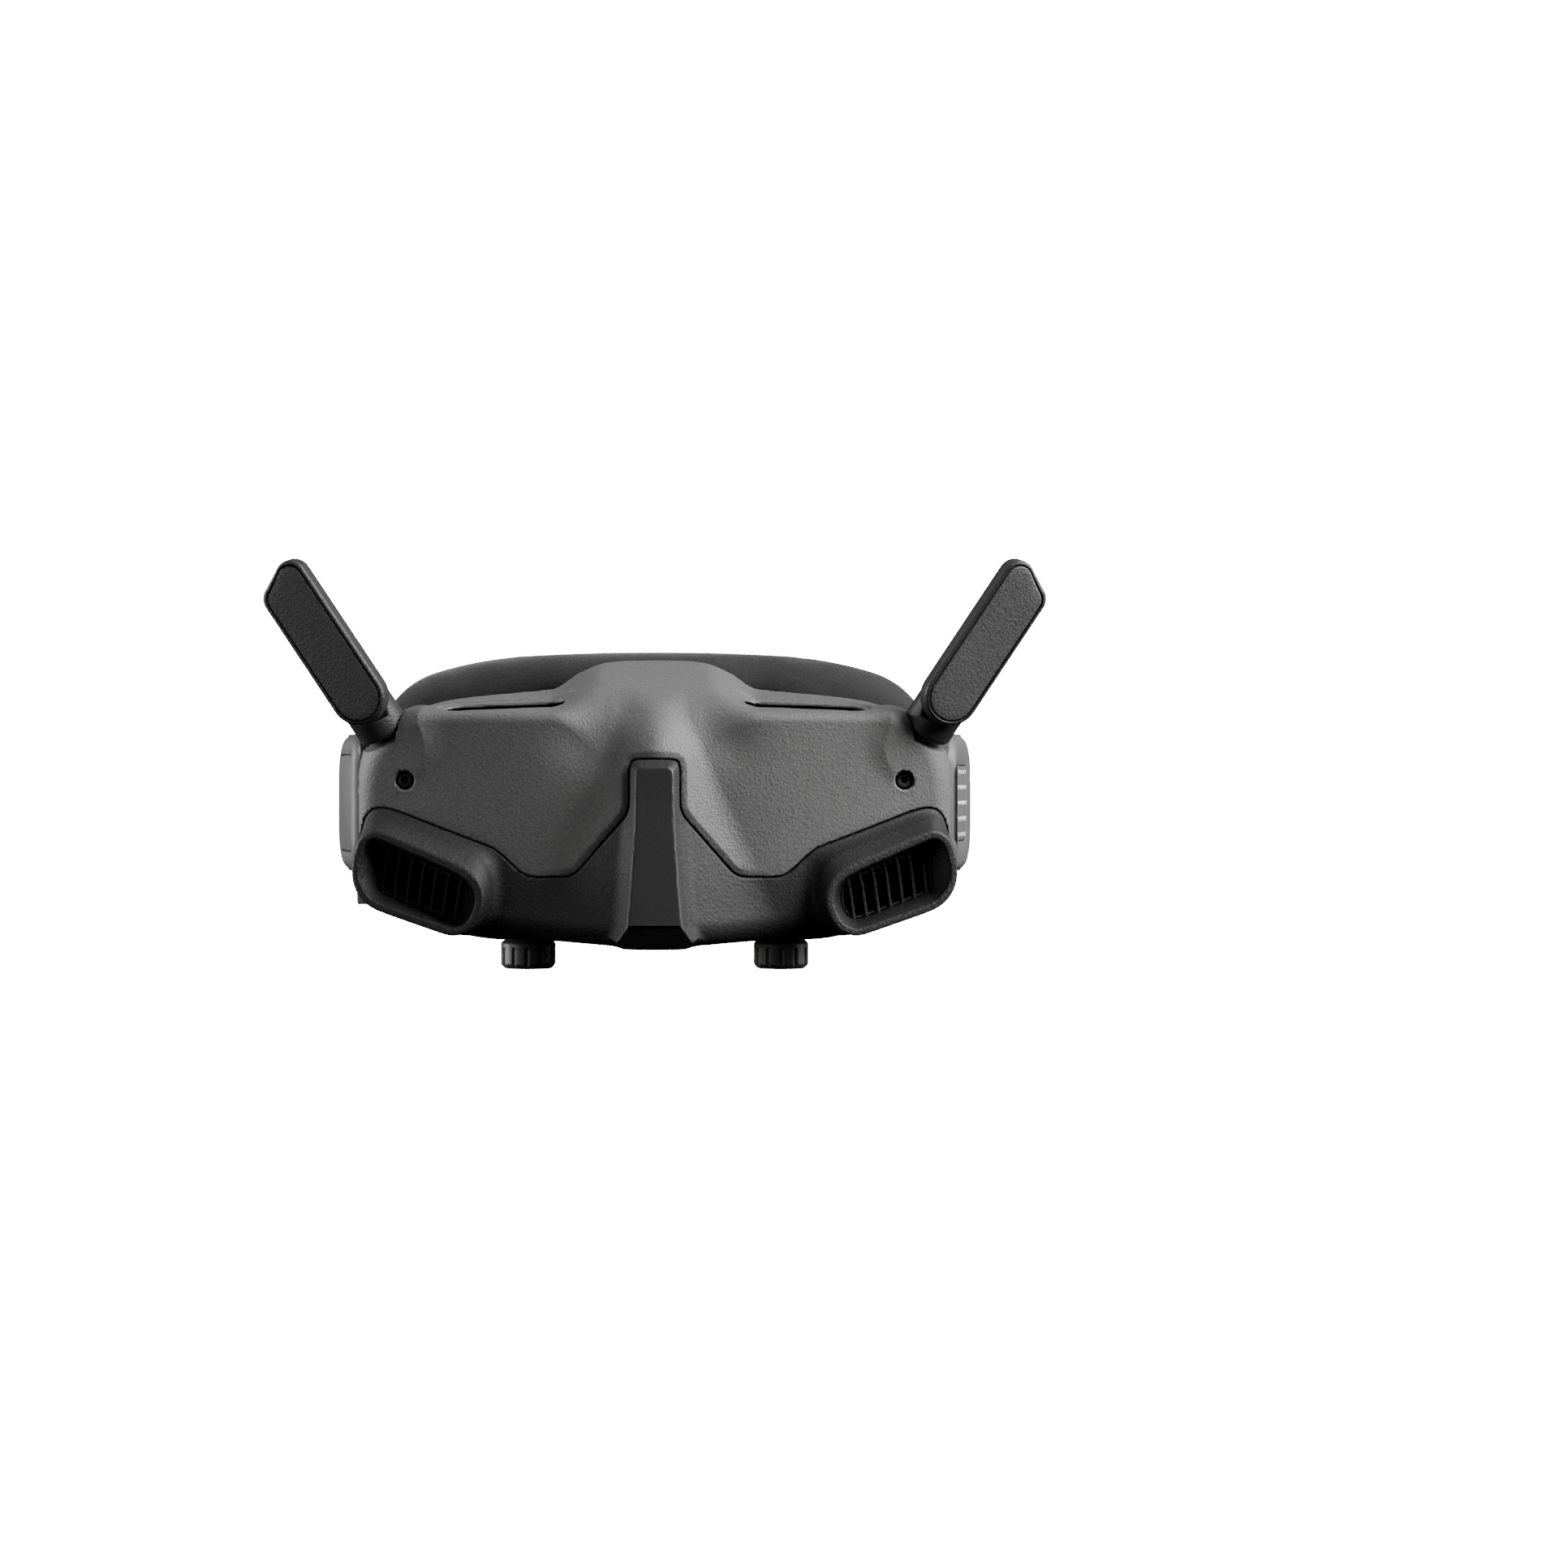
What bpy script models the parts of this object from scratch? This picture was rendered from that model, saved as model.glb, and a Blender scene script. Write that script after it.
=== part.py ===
"""FPV goggles as an assembly of separate parts.

The model is in metres, +Z up. The front of the goggles faces -Y, and +X is the wearer's left. The origin is at
the bottom centre of the model's box, level with the ends of the two focus knobs. All dimensions below are in
millimetres, and the mesh helpers turn them into metres.
"""

import math

import bmesh
import bpy
from mathutils import Matrix, Vector

MM = 0.001
GAP = 0.3                     # air between pieces that touch
SIDES = (("left", 1), ("right", -1))

# Casing
WALL = 2.4
BODY_CENTRE = (0.0, 40.0)     # x, z that the casing's rings shrink towards
SHELL_REAR_Y = -4.0
SHOULDER_Y = -14.0            # the top is level behind this and slopes down to the brow in front
BROW_Z = 64.8
# Half outlines as x, z from the top centre to the bottom centre
BODY_HALF = [(0, 78.8), (12.4, 78.6), (19.5, 75.6), (27.3, 72.4), (46.9, 69.9), (56, 68.2), (64, 64.8), (71, 60),
             (75, 53), (76.3, 44), (76.3, 32), (75.2, 23), (71.5, 16.9), (54.1, 10.3), (46.8, 8.7), (38.8, 7.9),
             (24.9, 7.5), (11.4, 6.6), (0, 6.2)]
FRAME_HALF = BODY_HALF[:14] + [(40, 8.2), (29, 9.5), (20, 16), (12, 26), (0, 30)]
FOAM_OUTER = [(0, 82.6), (16, 82.4), (32.6, 81.6), (44, 80.5), (54, 78.4), (62, 75.2), (69, 69.8), (74, 62.8),
              (77.5, 54), (79, 45), (78.5, 34), (76, 24), (70, 14.5), (58, 8), (42, 4.6), (30, 7), (21, 14),
              (12.5, 25), (0, 29)]
FOAM_INNER = [(0, 69.5), (12, 69.2), (24, 68.4), (34, 67), (43, 64.8), (51, 61.5), (57, 57.5), (61.5, 52.5),
              (64.5, 47), (65.5, 41), (65, 34), (62.5, 28), (57.5, 22.5), (50, 19), (42, 17.5), (34, 19.5),
              (21, 23.5), (10, 33), (0, 36)]
# The line where the upper casing meets the lower one, from the top of the spine outwards
PARTING_HALF = [(4.9, 53.3), (6.3, 52.1), (6.3, 40.0), (20.4, 23.8), (31.2, 23.6), (34.1, 25.1), (37.4, 28.4),
                (40.4, 30.9), (43.7, 32.1), (54.1, 36.0), (65.3, 40.3), (68.8, 41.1), (71.3, 40.7), (72.9, 39.3),
                (73.9, 36.8), (76.0, 28.0), (84.0, 26.0), (84.0, -4.0)]
SPINE_HALF = [(3.6, 51.6), (4.8, 50.4), (5.1, 37.0), (6.8, 11.6), (9.7, 7.3), (7.3, 5.6)]
SPINE_RISE = 2.8
SPINE_BEND_Z, SPINE_BEND_SLOPE = 11.6, 0.8    # the spine's face turns back below this height
DUCT_OUTER = [(75.6, 24.0), (74.6, 36.0), (72.3, 39.6), (68.6, 40.3), (53.8, 35.0), (43.4, 31.0), (40.2, 27.0),
              (40.0, 19.0), (42.5, 12.5), (47.5, 9.4), (53.0, 9.8), (69.5, 15.6), (73.5, 17.4), (75.2, 20.0)]
DUCT_MOUTH = [(74.3, 25.1), (73.3, 31.3), (70.9, 33.4), (68.7, 33.0), (49.2, 24.6), (45.8, 22.1), (44.5, 18.8),
              (45.2, 15.5), (47.0, 12.1), (50.0, 10.9), (51.6, 11.1), (69.6, 17.2), (72.1, 19.2), (73.7, 21.7)]
DUCT_RIM = 2.0
DUCT_DEPTH_Y = -22.0
DUCT_FACE_Y, DUCT_FACE_TURN = -41.0, 0.2    # the rim's depth at the duct's inner end, and its turn outwards
VANES, VANE_PITCH, VANE_LEAN, VANE_WIDTH = 7, 3.05, 1.6, 0.45
VANE_FIRST_X = 48.7
VENT_X = (24.0, 52.0)
VENT_Y = (-28.5, -21.5)
SCREW_X, SCREW_Z = 63.1, 48.0

# Optics
LENS_Z = 43.0
HALF_IPD = 32.0
IPD_TRAVEL = 4.0
BARREL_R, BARREL_BORE_R = 17.5, 15.4
BARREL_Y = (-22.5, 4.0)
RUN = 0.3                     # radial room round a sliding barrel
RAIL_Y, RAIL_TOP_Z, RAIL_LOW_Z, RAIL_R, RAIL_BORE_R = -11.0, 63.4, 15.8, 1.5, 1.9

# Knobs and the pinion that drives each barrel's rack
KNOB_X, KNOB_Y, KNOB_R, KNOB_TOP_Z = 32.2, -20.0, 7.0, 7.7
KNOB_GROOVES = 12
MODULE, TEETH = 0.6, 8
PITCH_R = MODULE * TEETH / 2
TOOTH_HALF, TOOTH_TIP_HALF, TOOTH_UP, TOOTH_DOWN = 0.37, 0.2, 0.45, 0.7
PINION_Z = (16.5, 20.5)
RACK_Z = (19.0, 20.4)

# Antennas: PIVOT is on the back plane of the left blade
PIVOT = (73.6, -29.5, 69.6)
BLADE_LEAN = 33.6             # from vertical, outwards
BLADE_ROLL = 17.0             # the blade's face turns outwards and down
BLADE_R, BLADE_LONG, BLADE_SHORT, BLADE_THICK = 7.2, 39.2, 34.8, 5.4
# The stub that carries the pivot, and how far up its axis the casing's collar ends
STUB_FOOT, STUB_TOP = (68.3, -22.7, 60.0), (74.2, -26.6, 69.2)
STUB_R, COLLAR_R, COLLAR_SHARE = 6.6, 8.0, 0.34
FOOT_ROOM_R = 7.55            # room for the blade's round foot
FOLD_CLEAR_SLOPE = 0.176      # edge of the region that the folded blade sweeps, against the blade's width
PIN_BORE_R = 1.9

# Side covers, in a frame of their own: u runs back, v up, w outwards
COVER_CENTRE = (78.2, -4.0, 42.0)
COVER_TURN = 10.5
COVER_HALF_U, COVER_HALF_V = 18.0, 17.8
DOT_PITCH, DOTS_U = 4.1, -5.0


# ---------------------------------------------------------------- shapes that several parts share

def ridge_y(x, z):
    """Front surface of the casing: a shallow curve, with a nose ridge that widens downwards."""
    drop = BROW_Z - z
    half_width = 9.0 + 0.45 * drop
    height = 4.0 + 0.125 * drop
    t = min(abs(x) / half_width, 1.0)
    return -38.6 + 13.5 * (x / 75.0) ** 2 - height * (1.0 - t * t * (3.0 - 2.0 * t))


def frame_back_y(x):
    return 9.0 + 12.0 * (abs(x) / 75.0) ** 2.2


def face_y(x):
    return min(24.5 + 27.5 * (abs(x) / 72.0) ** 2.3, 52.0)


def full_loop(half):
    """Close a half outline that starts and ends on the centre line."""
    return list(half) + [(-x, z) for x, z in reversed(half[1:-1])]


def mirrored_polygon(half):
    return list(half) + [(-x, z) for x, z in reversed(half)]


def grown(outline, distance):
    """Offset a closed x, z outline outwards, or inwards when distance is negative."""
    count = len(outline)
    area = sum(outline[i][0] * outline[(i + 1) % count][1] - outline[(i + 1) % count][0] * outline[i][1]
               for i in range(count))
    turn = 1.0 if area > 0 else -1.0
    result = []
    for i in range(count):
        before = Vector(outline[i - 1])
        here = Vector(outline[i])
        after = Vector(outline[(i + 1) % count])
        first = (here - before).normalized()
        second = (after - here).normalized()
        normal = Vector((first.y + second.y, -first.x - second.x)).normalized() * turn
        spread = max(normal.dot(Vector((first.y, -first.x)) * turn), 0.6)
        result.append(tuple(here + normal * (distance / spread)))
    return result


def scaled(loop, factor):
    cx, cz = BODY_CENTRE
    return [(cx + (x - cx) * factor, cz + (z - cz) * factor) for x, z in loop]


# ---------------------------------------------------------------- mesh helpers

def material(name, colour, roughness, metallic=0.0):
    made = bpy.data.materials.get(name)
    if made:
        return made
    made = bpy.data.materials.new(name)
    made.use_nodes = True
    shader = made.node_tree.nodes["Principled BSDF"]
    shader.inputs["Base Color"].default_value = (*colour, 1.0)
    shader.inputs["Roughness"].default_value = roughness
    shader.inputs["Metallic"].default_value = metallic
    return made


def finish(name, bm, mat=None, matrix=None, origin=(0, 0, 0)):
    """Turn a mesh made in millimetres into an object whose origin is at the given point."""
    if matrix is not None:
        bmesh.ops.transform(bm, matrix=matrix, verts=bm.verts)
    bmesh.ops.translate(bm, vec=-Vector(origin), verts=bm.verts)
    bmesh.ops.scale(bm, vec=(MM, MM, MM), verts=bm.verts)
    bmesh.ops.recalc_face_normals(bm, faces=bm.faces)
    mesh = bpy.data.meshes.new(name)
    bm.to_mesh(mesh)
    bm.free()
    mesh.shade_smooth()
    mesh.set_sharp_from_angle(angle=math.radians(35))
    obj = bpy.data.objects.new(name, mesh)
    obj.location = Vector(origin) * MM
    bpy.context.collection.objects.link(obj)
    if mat is not None:
        mesh.materials.append(mat)
    return obj


def tool(bm, matrix=None):
    """A cutter or a piece to be joined on: kept in the file, but no part of the object."""
    obj = finish("tool", bm, matrix=matrix)
    obj.hide_render = True
    obj.display_type = "WIRE"
    return obj


def combine(obj, other, operation):
    step = obj.modifiers.new(operation.lower(), "BOOLEAN")
    step.operation = operation
    step.object = other
    step.solver = "EXACT"


def cut(obj, bm, matrix=None):
    combine(obj, tool(bm, matrix), "DIFFERENCE")


def join(obj, bm, matrix=None):
    combine(obj, tool(bm, matrix), "UNION")


def loft(rings, closed=False):
    """Skin rings that have the same number of points; the ends are capped, or joined when closed."""
    bm = bmesh.new()
    rows = [[bm.verts.new(point) for point in ring] for ring in rings]
    count = len(rings[0])
    pairs = list(zip(rows, rows[1:]))
    if closed:
        pairs.append((rows[-1], rows[0]))
    for low, high in pairs:
        for i in range(count):
            bm.faces.new((low[i], low[(i + 1) % count], high[(i + 1) % count], high[i]))
    if not closed:
        bm.faces.new(rows[0])
        bm.faces.new(rows[-1][::-1])
    return bm


def prism_y(outline, low, high):
    return loft([[(x, low, z) for x, z in outline], [(x, high, z) for x, z in outline]])


def prism_z(outline, low, high):
    return loft([[(x, y, low) for x, y in outline], [(x, y, high) for x, y in outline]])


def box(low, high):
    x0, y0, z0 = low
    x1, y1, z1 = high
    return prism_y([(x0, z0), (x1, z0), (x1, z1), (x0, z1)], y0, y1)


def side_box(side, x, y, z):
    """A box given for the left side, mirrored for the right."""
    a, b = sorted((side * x[0], side * x[1]))
    return box((a, y[0], z[0]), (b, y[1], z[1]))


def along(start, end):
    """Matrix that carries the Z axis onto the line from start, pointing at end."""
    direction = Vector(end) - Vector(start)
    return Matrix.Translation(Vector(start)) @ direction.to_track_quat("Z", "Y").to_matrix().to_4x4()


def turned(profile, segments=24):
    """Solid of revolution about Z from r, z pairs, listed from one end to the other."""
    rings = []
    for radius, z in profile:
        angles = [2 * math.pi * i / segments for i in range(segments)]
        rings.append([(radius * math.cos(a), radius * math.sin(a), z) for a in angles])
    return loft(rings)


def turned_ring(profile, segments=24):
    """Hollow solid of revolution about Z from a closed r, z outline."""
    rings = []
    for radius, z in profile:
        angles = [2 * math.pi * i / segments for i in range(segments)]
        rings.append([(radius * math.cos(a), radius * math.sin(a), z) for a in angles])
    return loft(rings, closed=True)


def rod(start, end, radius, end_radius=None, segments=16):
    length = (Vector(end) - Vector(start)).length
    bm = turned([(radius, 0.0), (end_radius or radius, length)], segments)
    bmesh.ops.transform(bm, matrix=along(start, end), verts=bm.verts)
    return bm


def stadium(cx, cz, half_height, half_flat, steps=10):
    """Outline of a slot with round ends, long along x."""
    points = []
    for end in (1, -1):
        for i in range(steps + 1):
            angle = math.pi * (i / steps - 0.5) + (0 if end == 1 else math.pi)
            points.append((cx + end * half_flat + half_height * math.cos(angle), cz + half_height * math.sin(angle)))
    return points


def rounded_rectangle(half_u, half_v, radius, steps=3):
    points = []
    for corner, (su, sv) in enumerate(((1, 1), (-1, 1), (-1, -1), (1, -1))):
        for i in range(steps + 1):
            angle = math.pi / 2 * (corner + i / steps)
            points.append((su * (half_u - radius) + radius * math.cos(angle),
                           sv * (half_v - radius) + radius * math.sin(angle)))
    return points


def cover_matrix(side):
    """u, v, w of a side cover to x, y, z."""
    turn = math.radians(COVER_TURN)
    back = Vector((side * math.sin(turn), math.cos(turn), 0))
    out = Vector((side * math.cos(turn), -math.sin(turn), 0))
    up = Vector((0, 0, 1))
    matrix = Matrix((back, up, out)).transposed().to_4x4()
    matrix.translation = Vector((side * COVER_CENTRE[0], COVER_CENTRE[1], COVER_CENTRE[2]))
    return matrix


def box_uv(half_u, half_v, low, high):
    return plate_uv([(-half_u, -half_v), (half_u, -half_v), (half_u, half_v), (-half_u, half_v)], low, high)


def plate_uv(outline, low, high):
    return loft([[(u, v, low) for u, v in outline], [(u, v, high) for u, v in outline]])


# ---------------------------------------------------------------- casing

def casing_rings(inset, rear_y):
    """Rings of the casing's outer form, or of its cavity when inset is the wall thickness."""
    half = full_loop(BODY_HALF)
    across = 1.0 - inset / 74.0
    down = 1.0 - inset / 33.0
    cz = BODY_CENTRE[1]

    def shrink(x, z, factor):
        return x * across * factor, cz + (z - cz) * down * factor

    def at_front(x, z):
        return ridge_y(x, min(z, BROW_Z)) + inset

    rings = []
    for y in (rear_y, SHOULDER_Y):
        rings.append([(*shrink(x, z, 1.0)[:1], y, shrink(x, z, 1.0)[1]) for x, z in half])
    low = [(x, min(z, BROW_Z)) for x, z in half]
    for factor, back in ((0.988, 4.5), (0.955, 1.1), (0.88, 0.0), (0.74, 0.0), (0.6, 0.0), (0.46, 0.0), (0.32, 0.0),
                         (0.18, 0.0), (0.06, 0.0)):
        ring = []
        for x, z in low:
            sx, sz = shrink(x, z, factor)
            ring.append((sx, at_front(sx, sz) + back, sz))
        rings.append(ring)
    return rings


def parting(distance):
    """The lower casing's region as an x, z outline, grown or shrunk by a distance."""
    return grown(mirrored_polygon(PARTING_HALF), distance)


def duct_rings(side):
    rim = grown(DUCT_MOUTH, DUCT_RIM)
    deep = [(side * x, -20.0, z) for x, z in grown(DUCT_OUTER, -1.5)]
    edge = [(side * x, ridge_y(x, z) - 0.6, z) for x, z in DUCT_OUTER]
    face = [(side * x, DUCT_FACE_Y + DUCT_FACE_TURN * (x - 45.0), z) for x, z in rim]
    return [deep, edge, face]


def antenna_matrix(side):
    """Width, length and thickness of an antenna blade to x, y, z, with its pivot at the origin."""
    lean = math.radians(BLADE_LEAN)
    roll = math.radians(BLADE_ROLL)
    long = Vector((side * math.sin(lean), 0, math.cos(lean)))
    flat_in = Vector((-side * math.cos(lean), 0, math.sin(lean)))
    ahead = Vector((0, -1, 0))
    inward = flat_in * math.cos(roll) + ahead * math.sin(roll)
    normal = ahead * math.cos(roll) - flat_in * math.sin(roll)
    matrix = Matrix((inward, long, normal)).transposed().to_4x4()
    matrix.translation = pivot(side)
    return matrix


def pivot(side):
    return Vector((side * PIVOT[0], PIVOT[1], PIVOT[2]))


def stub_ends(side):
    return [Vector((side * x, y, z)) for x, y, z in (STUB_FOOT, STUB_TOP)]


def cut_for_side_covers(obj, sides=SIDES):
    for _, side in sides:
        outline = rounded_rectangle(COVER_HALF_U + GAP, COVER_HALF_V + GAP, 8.0)
        cut(obj, plate_uv(outline, -4.0 - GAP, 8.0), cover_matrix(side))


def front_shells(upper_plastic, lower_plastic):
    upper = finish("front_shell_upper", loft(casing_rings(0.0, SHELL_REAR_Y)), upper_plastic)
    for _, side in SIDES:
        foot, top = stub_ends(side)
        join(upper, rod(foot.lerp(top, -0.45), foot.lerp(top, COLLAR_SHARE), COLLAR_R, segments=20))
    cut(upper, loft(casing_rings(WALL, SHELL_REAR_Y + 5.0)))
    cut(upper, prism_y(parting(0.15), -70, 20))
    for _, side in SIDES:
        foot, top = stub_ends(side)
        cut(upper, rod(foot.lerp(top, -0.5), top, STUB_R + GAP, segments=20))
        cut(upper, side_box(side, VENT_X, VENT_Y, (55, 85)))
        cut(upper, rod((side * SCREW_X, -60, SCREW_Z), (side * SCREW_X, -10, SCREW_Z), 2.4, segments=12))
    cut_for_side_covers(upper)

    lower = finish("front_shell_lower", loft(casing_rings(0.0, SHELL_REAR_Y)), lower_plastic)
    for _, side in SIDES:
        join(lower, loft(duct_rings(side)))
    spine = mirrored_polygon(SPINE_HALF)
    spine_front = [(x, ridge_y(0, z) - SPINE_RISE + SPINE_BEND_SLOPE * max(SPINE_BEND_Z - z, 0.0), z)
                   for x, z in spine]
    join(lower, loft([spine_front, [(x, -30.0, z) for x, z in spine]]))
    cut(lower, loft(casing_rings(WALL, SHELL_REAR_Y + 5.0)))
    clear = grown(mirrored_polygon(PARTING_HALF), -0.15)
    outside = [(-90, -20), (90, -20), (90, 90), (-90, 90)]
    shell_side = prism_y(outside, -75, 20)
    keep = tool(prism_y(clear, -70, 15))
    everything_else = tool(shell_side)
    combine(everything_else, keep, "DIFFERENCE")
    combine(lower, everything_else, "DIFFERENCE")
    for _, side in SIDES:
        mouth = [(side * x, z) for x, z in DUCT_MOUTH]
        cut(lower, prism_y(mouth, -60, DUCT_DEPTH_Y))
        x = side * KNOB_X
        join(lower, box((x - 13, KNOB_Y - 9.5, 8.2), (x + 13, KNOB_Y + 9.5, 12.4)))
        pocket = stadium(x, KNOB_Y, KNOB_R + 0.6, IPD_TRAVEL, 8)
        cut(lower, prism_z(pocket, -2, 10.9))
        cut(lower, prism_z(stadium(x, KNOB_Y, 4.2, IPD_TRAVEL, 6), 5, 20))
    cut_for_side_covers(lower)


def intake_grille(name, side, plastic):
    outline = [(side * x, z) for x, z in grown(DUCT_MOUTH, -GAP)]
    hole = [(side * x, z) for x, z in grown(DUCT_MOUTH, -1.5)]
    grille = finish(name, prism_y(outline, -29.0, -26.0), plastic)
    cut(grille, prism_y(hole, -35, -20))
    inside_rim = [(side * x, z) for x, z in grown(DUCT_MOUTH, -0.9)]
    for i in range(VANES):
        x = VANE_FIRST_X + VANE_PITCH * i
        low = 8.0 + 0.34 * (x - 45.0)
        high = low + 22.0
        bar = [(side * (x + VANE_WIDTH + VANE_LEAN), low), (side * (x + VANE_LEAN), low)]
        bar += [(side * x, high), (side * (x + VANE_WIDTH), high)]
        vane = tool(prism_y(bar, -28.6, -26.4))
        combine(vane, tool(prism_y(inside_rim, -40, -10)), "INTERSECT")
        combine(grille, vane, "UNION")


def vent_mesh(name, side, metal):
    plate = finish(name, side_box(side, (VENT_X[0] - 1, VENT_X[1] + 1), (-28.2, -22.0), (60.9, 61.9)), metal)
    for i in range(8):
        x = VENT_X[0] + 1.6 + i * 3.35
        cut(plate, side_box(side, (x, x + 1.6), (-27.4, -22.8), (58, 64)))


def side_cover(name, side, plastic):
    rings = []
    for inset, w in ((0.0, -4.0), (0.0, 0.6), (0.9, 1.8), (2.6, 2.2)):
        outline = rounded_rectangle(COVER_HALF_U - inset, COVER_HALF_V - inset, 8.0 - inset)
        rings.append([(u, v, w) for u, v in outline])
    cover = finish(name, loft(rings), plastic, cover_matrix(side))
    hollow = rounded_rectangle(COVER_HALF_U - 2.0, COVER_HALF_V - 2.0, 6.0)
    cut(cover, plate_uv(hollow, -8.0, 0.2), cover_matrix(side))
    recess = rounded_rectangle(14.8, 12.6, 4.8) if side < 0 else light_plate_outline(0.0)
    cut(cover, plate_uv(recess, 1.0, 6.0), cover_matrix(side))


def touch_panel(plastic):
    outline = rounded_rectangle(14.8 - GAP, 12.6 - GAP, 4.5)
    finish("touch_panel", plate_uv(outline, 1.4, 2.2), plastic, cover_matrix(-1))


def side_dots(paint):
    """A light plate sunk in the left cover, whose raised dots come level with the cover's face."""
    plate = finish("side_dots", plate_uv(light_plate_outline(-GAP), 1.3, 1.8), paint, cover_matrix(1))
    for column in range(5):
        for row in range(5):
            centre = Matrix.Translation(((column - 2) * DOT_PITCH + DOTS_U, (row - 2) * DOT_PITCH, 0.0))
            join(plate, turned([(0.8, 1.6), (0.8, 2.2)], 6), cover_matrix(1) @ centre)


def light_plate_outline(grow):
    outline = rounded_rectangle(2 * DOT_PITCH + 1.6 + grow, 2 * DOT_PITCH + 1.6 + grow, 1.5)
    return [(u + DOTS_U, v) for u, v in outline]


def front_screw(name, side, steel):
    """Pan head screw in a well of the upper casing."""
    matrix = Matrix.Translation((side * SCREW_X, -25.0, SCREW_Z)) @ Matrix.Rotation(math.pi / 2, 4, "X")
    screw = finish(name, turned([(1.1, -6.0), (1.1, 0.9), (1.95, 1.0), (1.95, 2.4), (1.5, 2.8)], 12), steel, matrix)
    cut(screw, turned([(0.7, 2.0), (0.7, 5.0)], 6), matrix)


# ---------------------------------------------------------------- frames and foam

def ring_between(name, front, rear, inner_front, inner_rear, mat):
    """A ring from four loops, each a list of x, y, z points."""
    return finish(name, loft([front, rear, inner_rear, inner_front], closed=True), mat)


def mid_frame(plastic):
    frame = finish("mid_frame", prism_y(full_loop(BODY_HALF), SHELL_REAR_Y + GAP, 3.3), plastic)
    join(frame, box((-4, -13.5, 12.8), (4, -1.0, 66)))
    for _, side in SIDES:
        opening = stadium(side * HALF_IPD, LENS_Z, BARREL_R + 0.5, IPD_TRAVEL, 9)
        cut(frame, prism_y(opening, -8, 8))
    for z in (RAIL_TOP_Z, RAIL_LOW_Z):
        cut(frame, rod((-20, RAIL_Y, z), (20, RAIL_Y, z), RAIL_R + GAP, segments=12))
    cut(frame, box((39.6, -2.8, 5.0), (49.4, 1.8, 12.4)))
    cut(frame, box((-52.4, -2.6, 5.0), (-40.6, 1.0, 12.4)))
    cut(frame, rod((30, 0, 5), (30, 0, 11.6), 1.9, segments=14))
    cut_for_side_covers(frame)


def face_frame(plastic):
    front = [(x, 3.6, z) for x, z in scaled(full_loop(FRAME_HALF), 0.995)]
    rear = [(x, frame_back_y(x) - 2.1, z) for x, z in scaled(full_loop(FRAME_HALF), 0.97)]
    inner = full_loop(FOAM_INNER)
    inner_front = [(x, 3.6, z) for x, z in inner]
    inner_rear = [(x, frame_back_y(x) - 2.1, z) for x, z in inner]
    frame = ring_between("face_frame", front, rear, inner_front, inner_rear, plastic)
    cut_for_side_covers(frame)


def foam_frame(plastic):
    loops = []
    outer = scaled(full_loop(FRAME_HALF), 0.965)
    inner = scaled(full_loop(FOAM_INNER), 1.01)
    for loop, back in ((outer, -1.8), (outer, -GAP), (inner, -GAP), (inner, -1.8)):
        loops.append([(x, frame_back_y(x) + back, z) for x, z in loop])
    finish("foam_frame", loft(loops, closed=True), plastic)


def face_foam(fabric):
    outer = full_loop(FOAM_OUTER)
    start = scaled(full_loop(FRAME_HALF), 0.985)
    inner = full_loop(FOAM_INNER)
    loops = [[(x, frame_back_y(x), z) for x, z in start],
             [(x, frame_back_y(x) + 7.0, z) for x, z in outer],
             [(x, face_y(x) - 4.0, z) for x, z in outer],
             [(x * 0.98, face_y(x), BODY_CENTRE[1] + (z - BODY_CENTRE[1]) * 0.96) for x, z in outer],
             [(x, face_y(x) - 2.5, z) for x, z in inner],
             [(x, frame_back_y(x), z) for x, z in inner]]
    finish("face_foam", loft(loops, closed=True), fabric)


def inner_cover(plastic):
    cover = finish("inner_cover", prism_y(grown(full_loop(FOAM_INNER), -0.4), 4.2, 6.0), plastic)
    for _, side in SIDES:
        cut(cover, prism_y(stadium(side * HALF_IPD, LENS_Z, BARREL_R + 0.4, IPD_TRAVEL, 9), 0, 10))
    cut(cover, box((-3.0, 0, 60.5), (3.0, 10, 63.5)))


def proximity_sensor(glass):
    finish("proximity_sensor", box((-3.0 + GAP, 4.4, 60.5 + GAP), (3.0 - GAP, 5.8, 63.5 - GAP)), glass)


def band_anchor(name, side, plastic):
    shape = [(75.0, 14.9), (83.3, 14.9), (83.3, 36.0), (80.4, 36.0), (80.4, 19.0), (75.0, 19.0)]
    outline = [(side * x, y) for x, y in shape]
    anchor = finish(name, prism_z(outline, 34.0, 48.0), plastic)
    cut(anchor, side_box(side, (78, 86), (26.0, 31.5), (36.5, 45.5)))


# ---------------------------------------------------------------- optics

def ipd_rails(steel):
    for word, z in (("upper", RAIL_TOP_Z), ("lower", RAIL_LOW_Z)):
        finish("ipd_rail_" + word, rod((-57, RAIL_Y, z), (57, RAIL_Y, z), RAIL_R, segments=12), steel)


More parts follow.
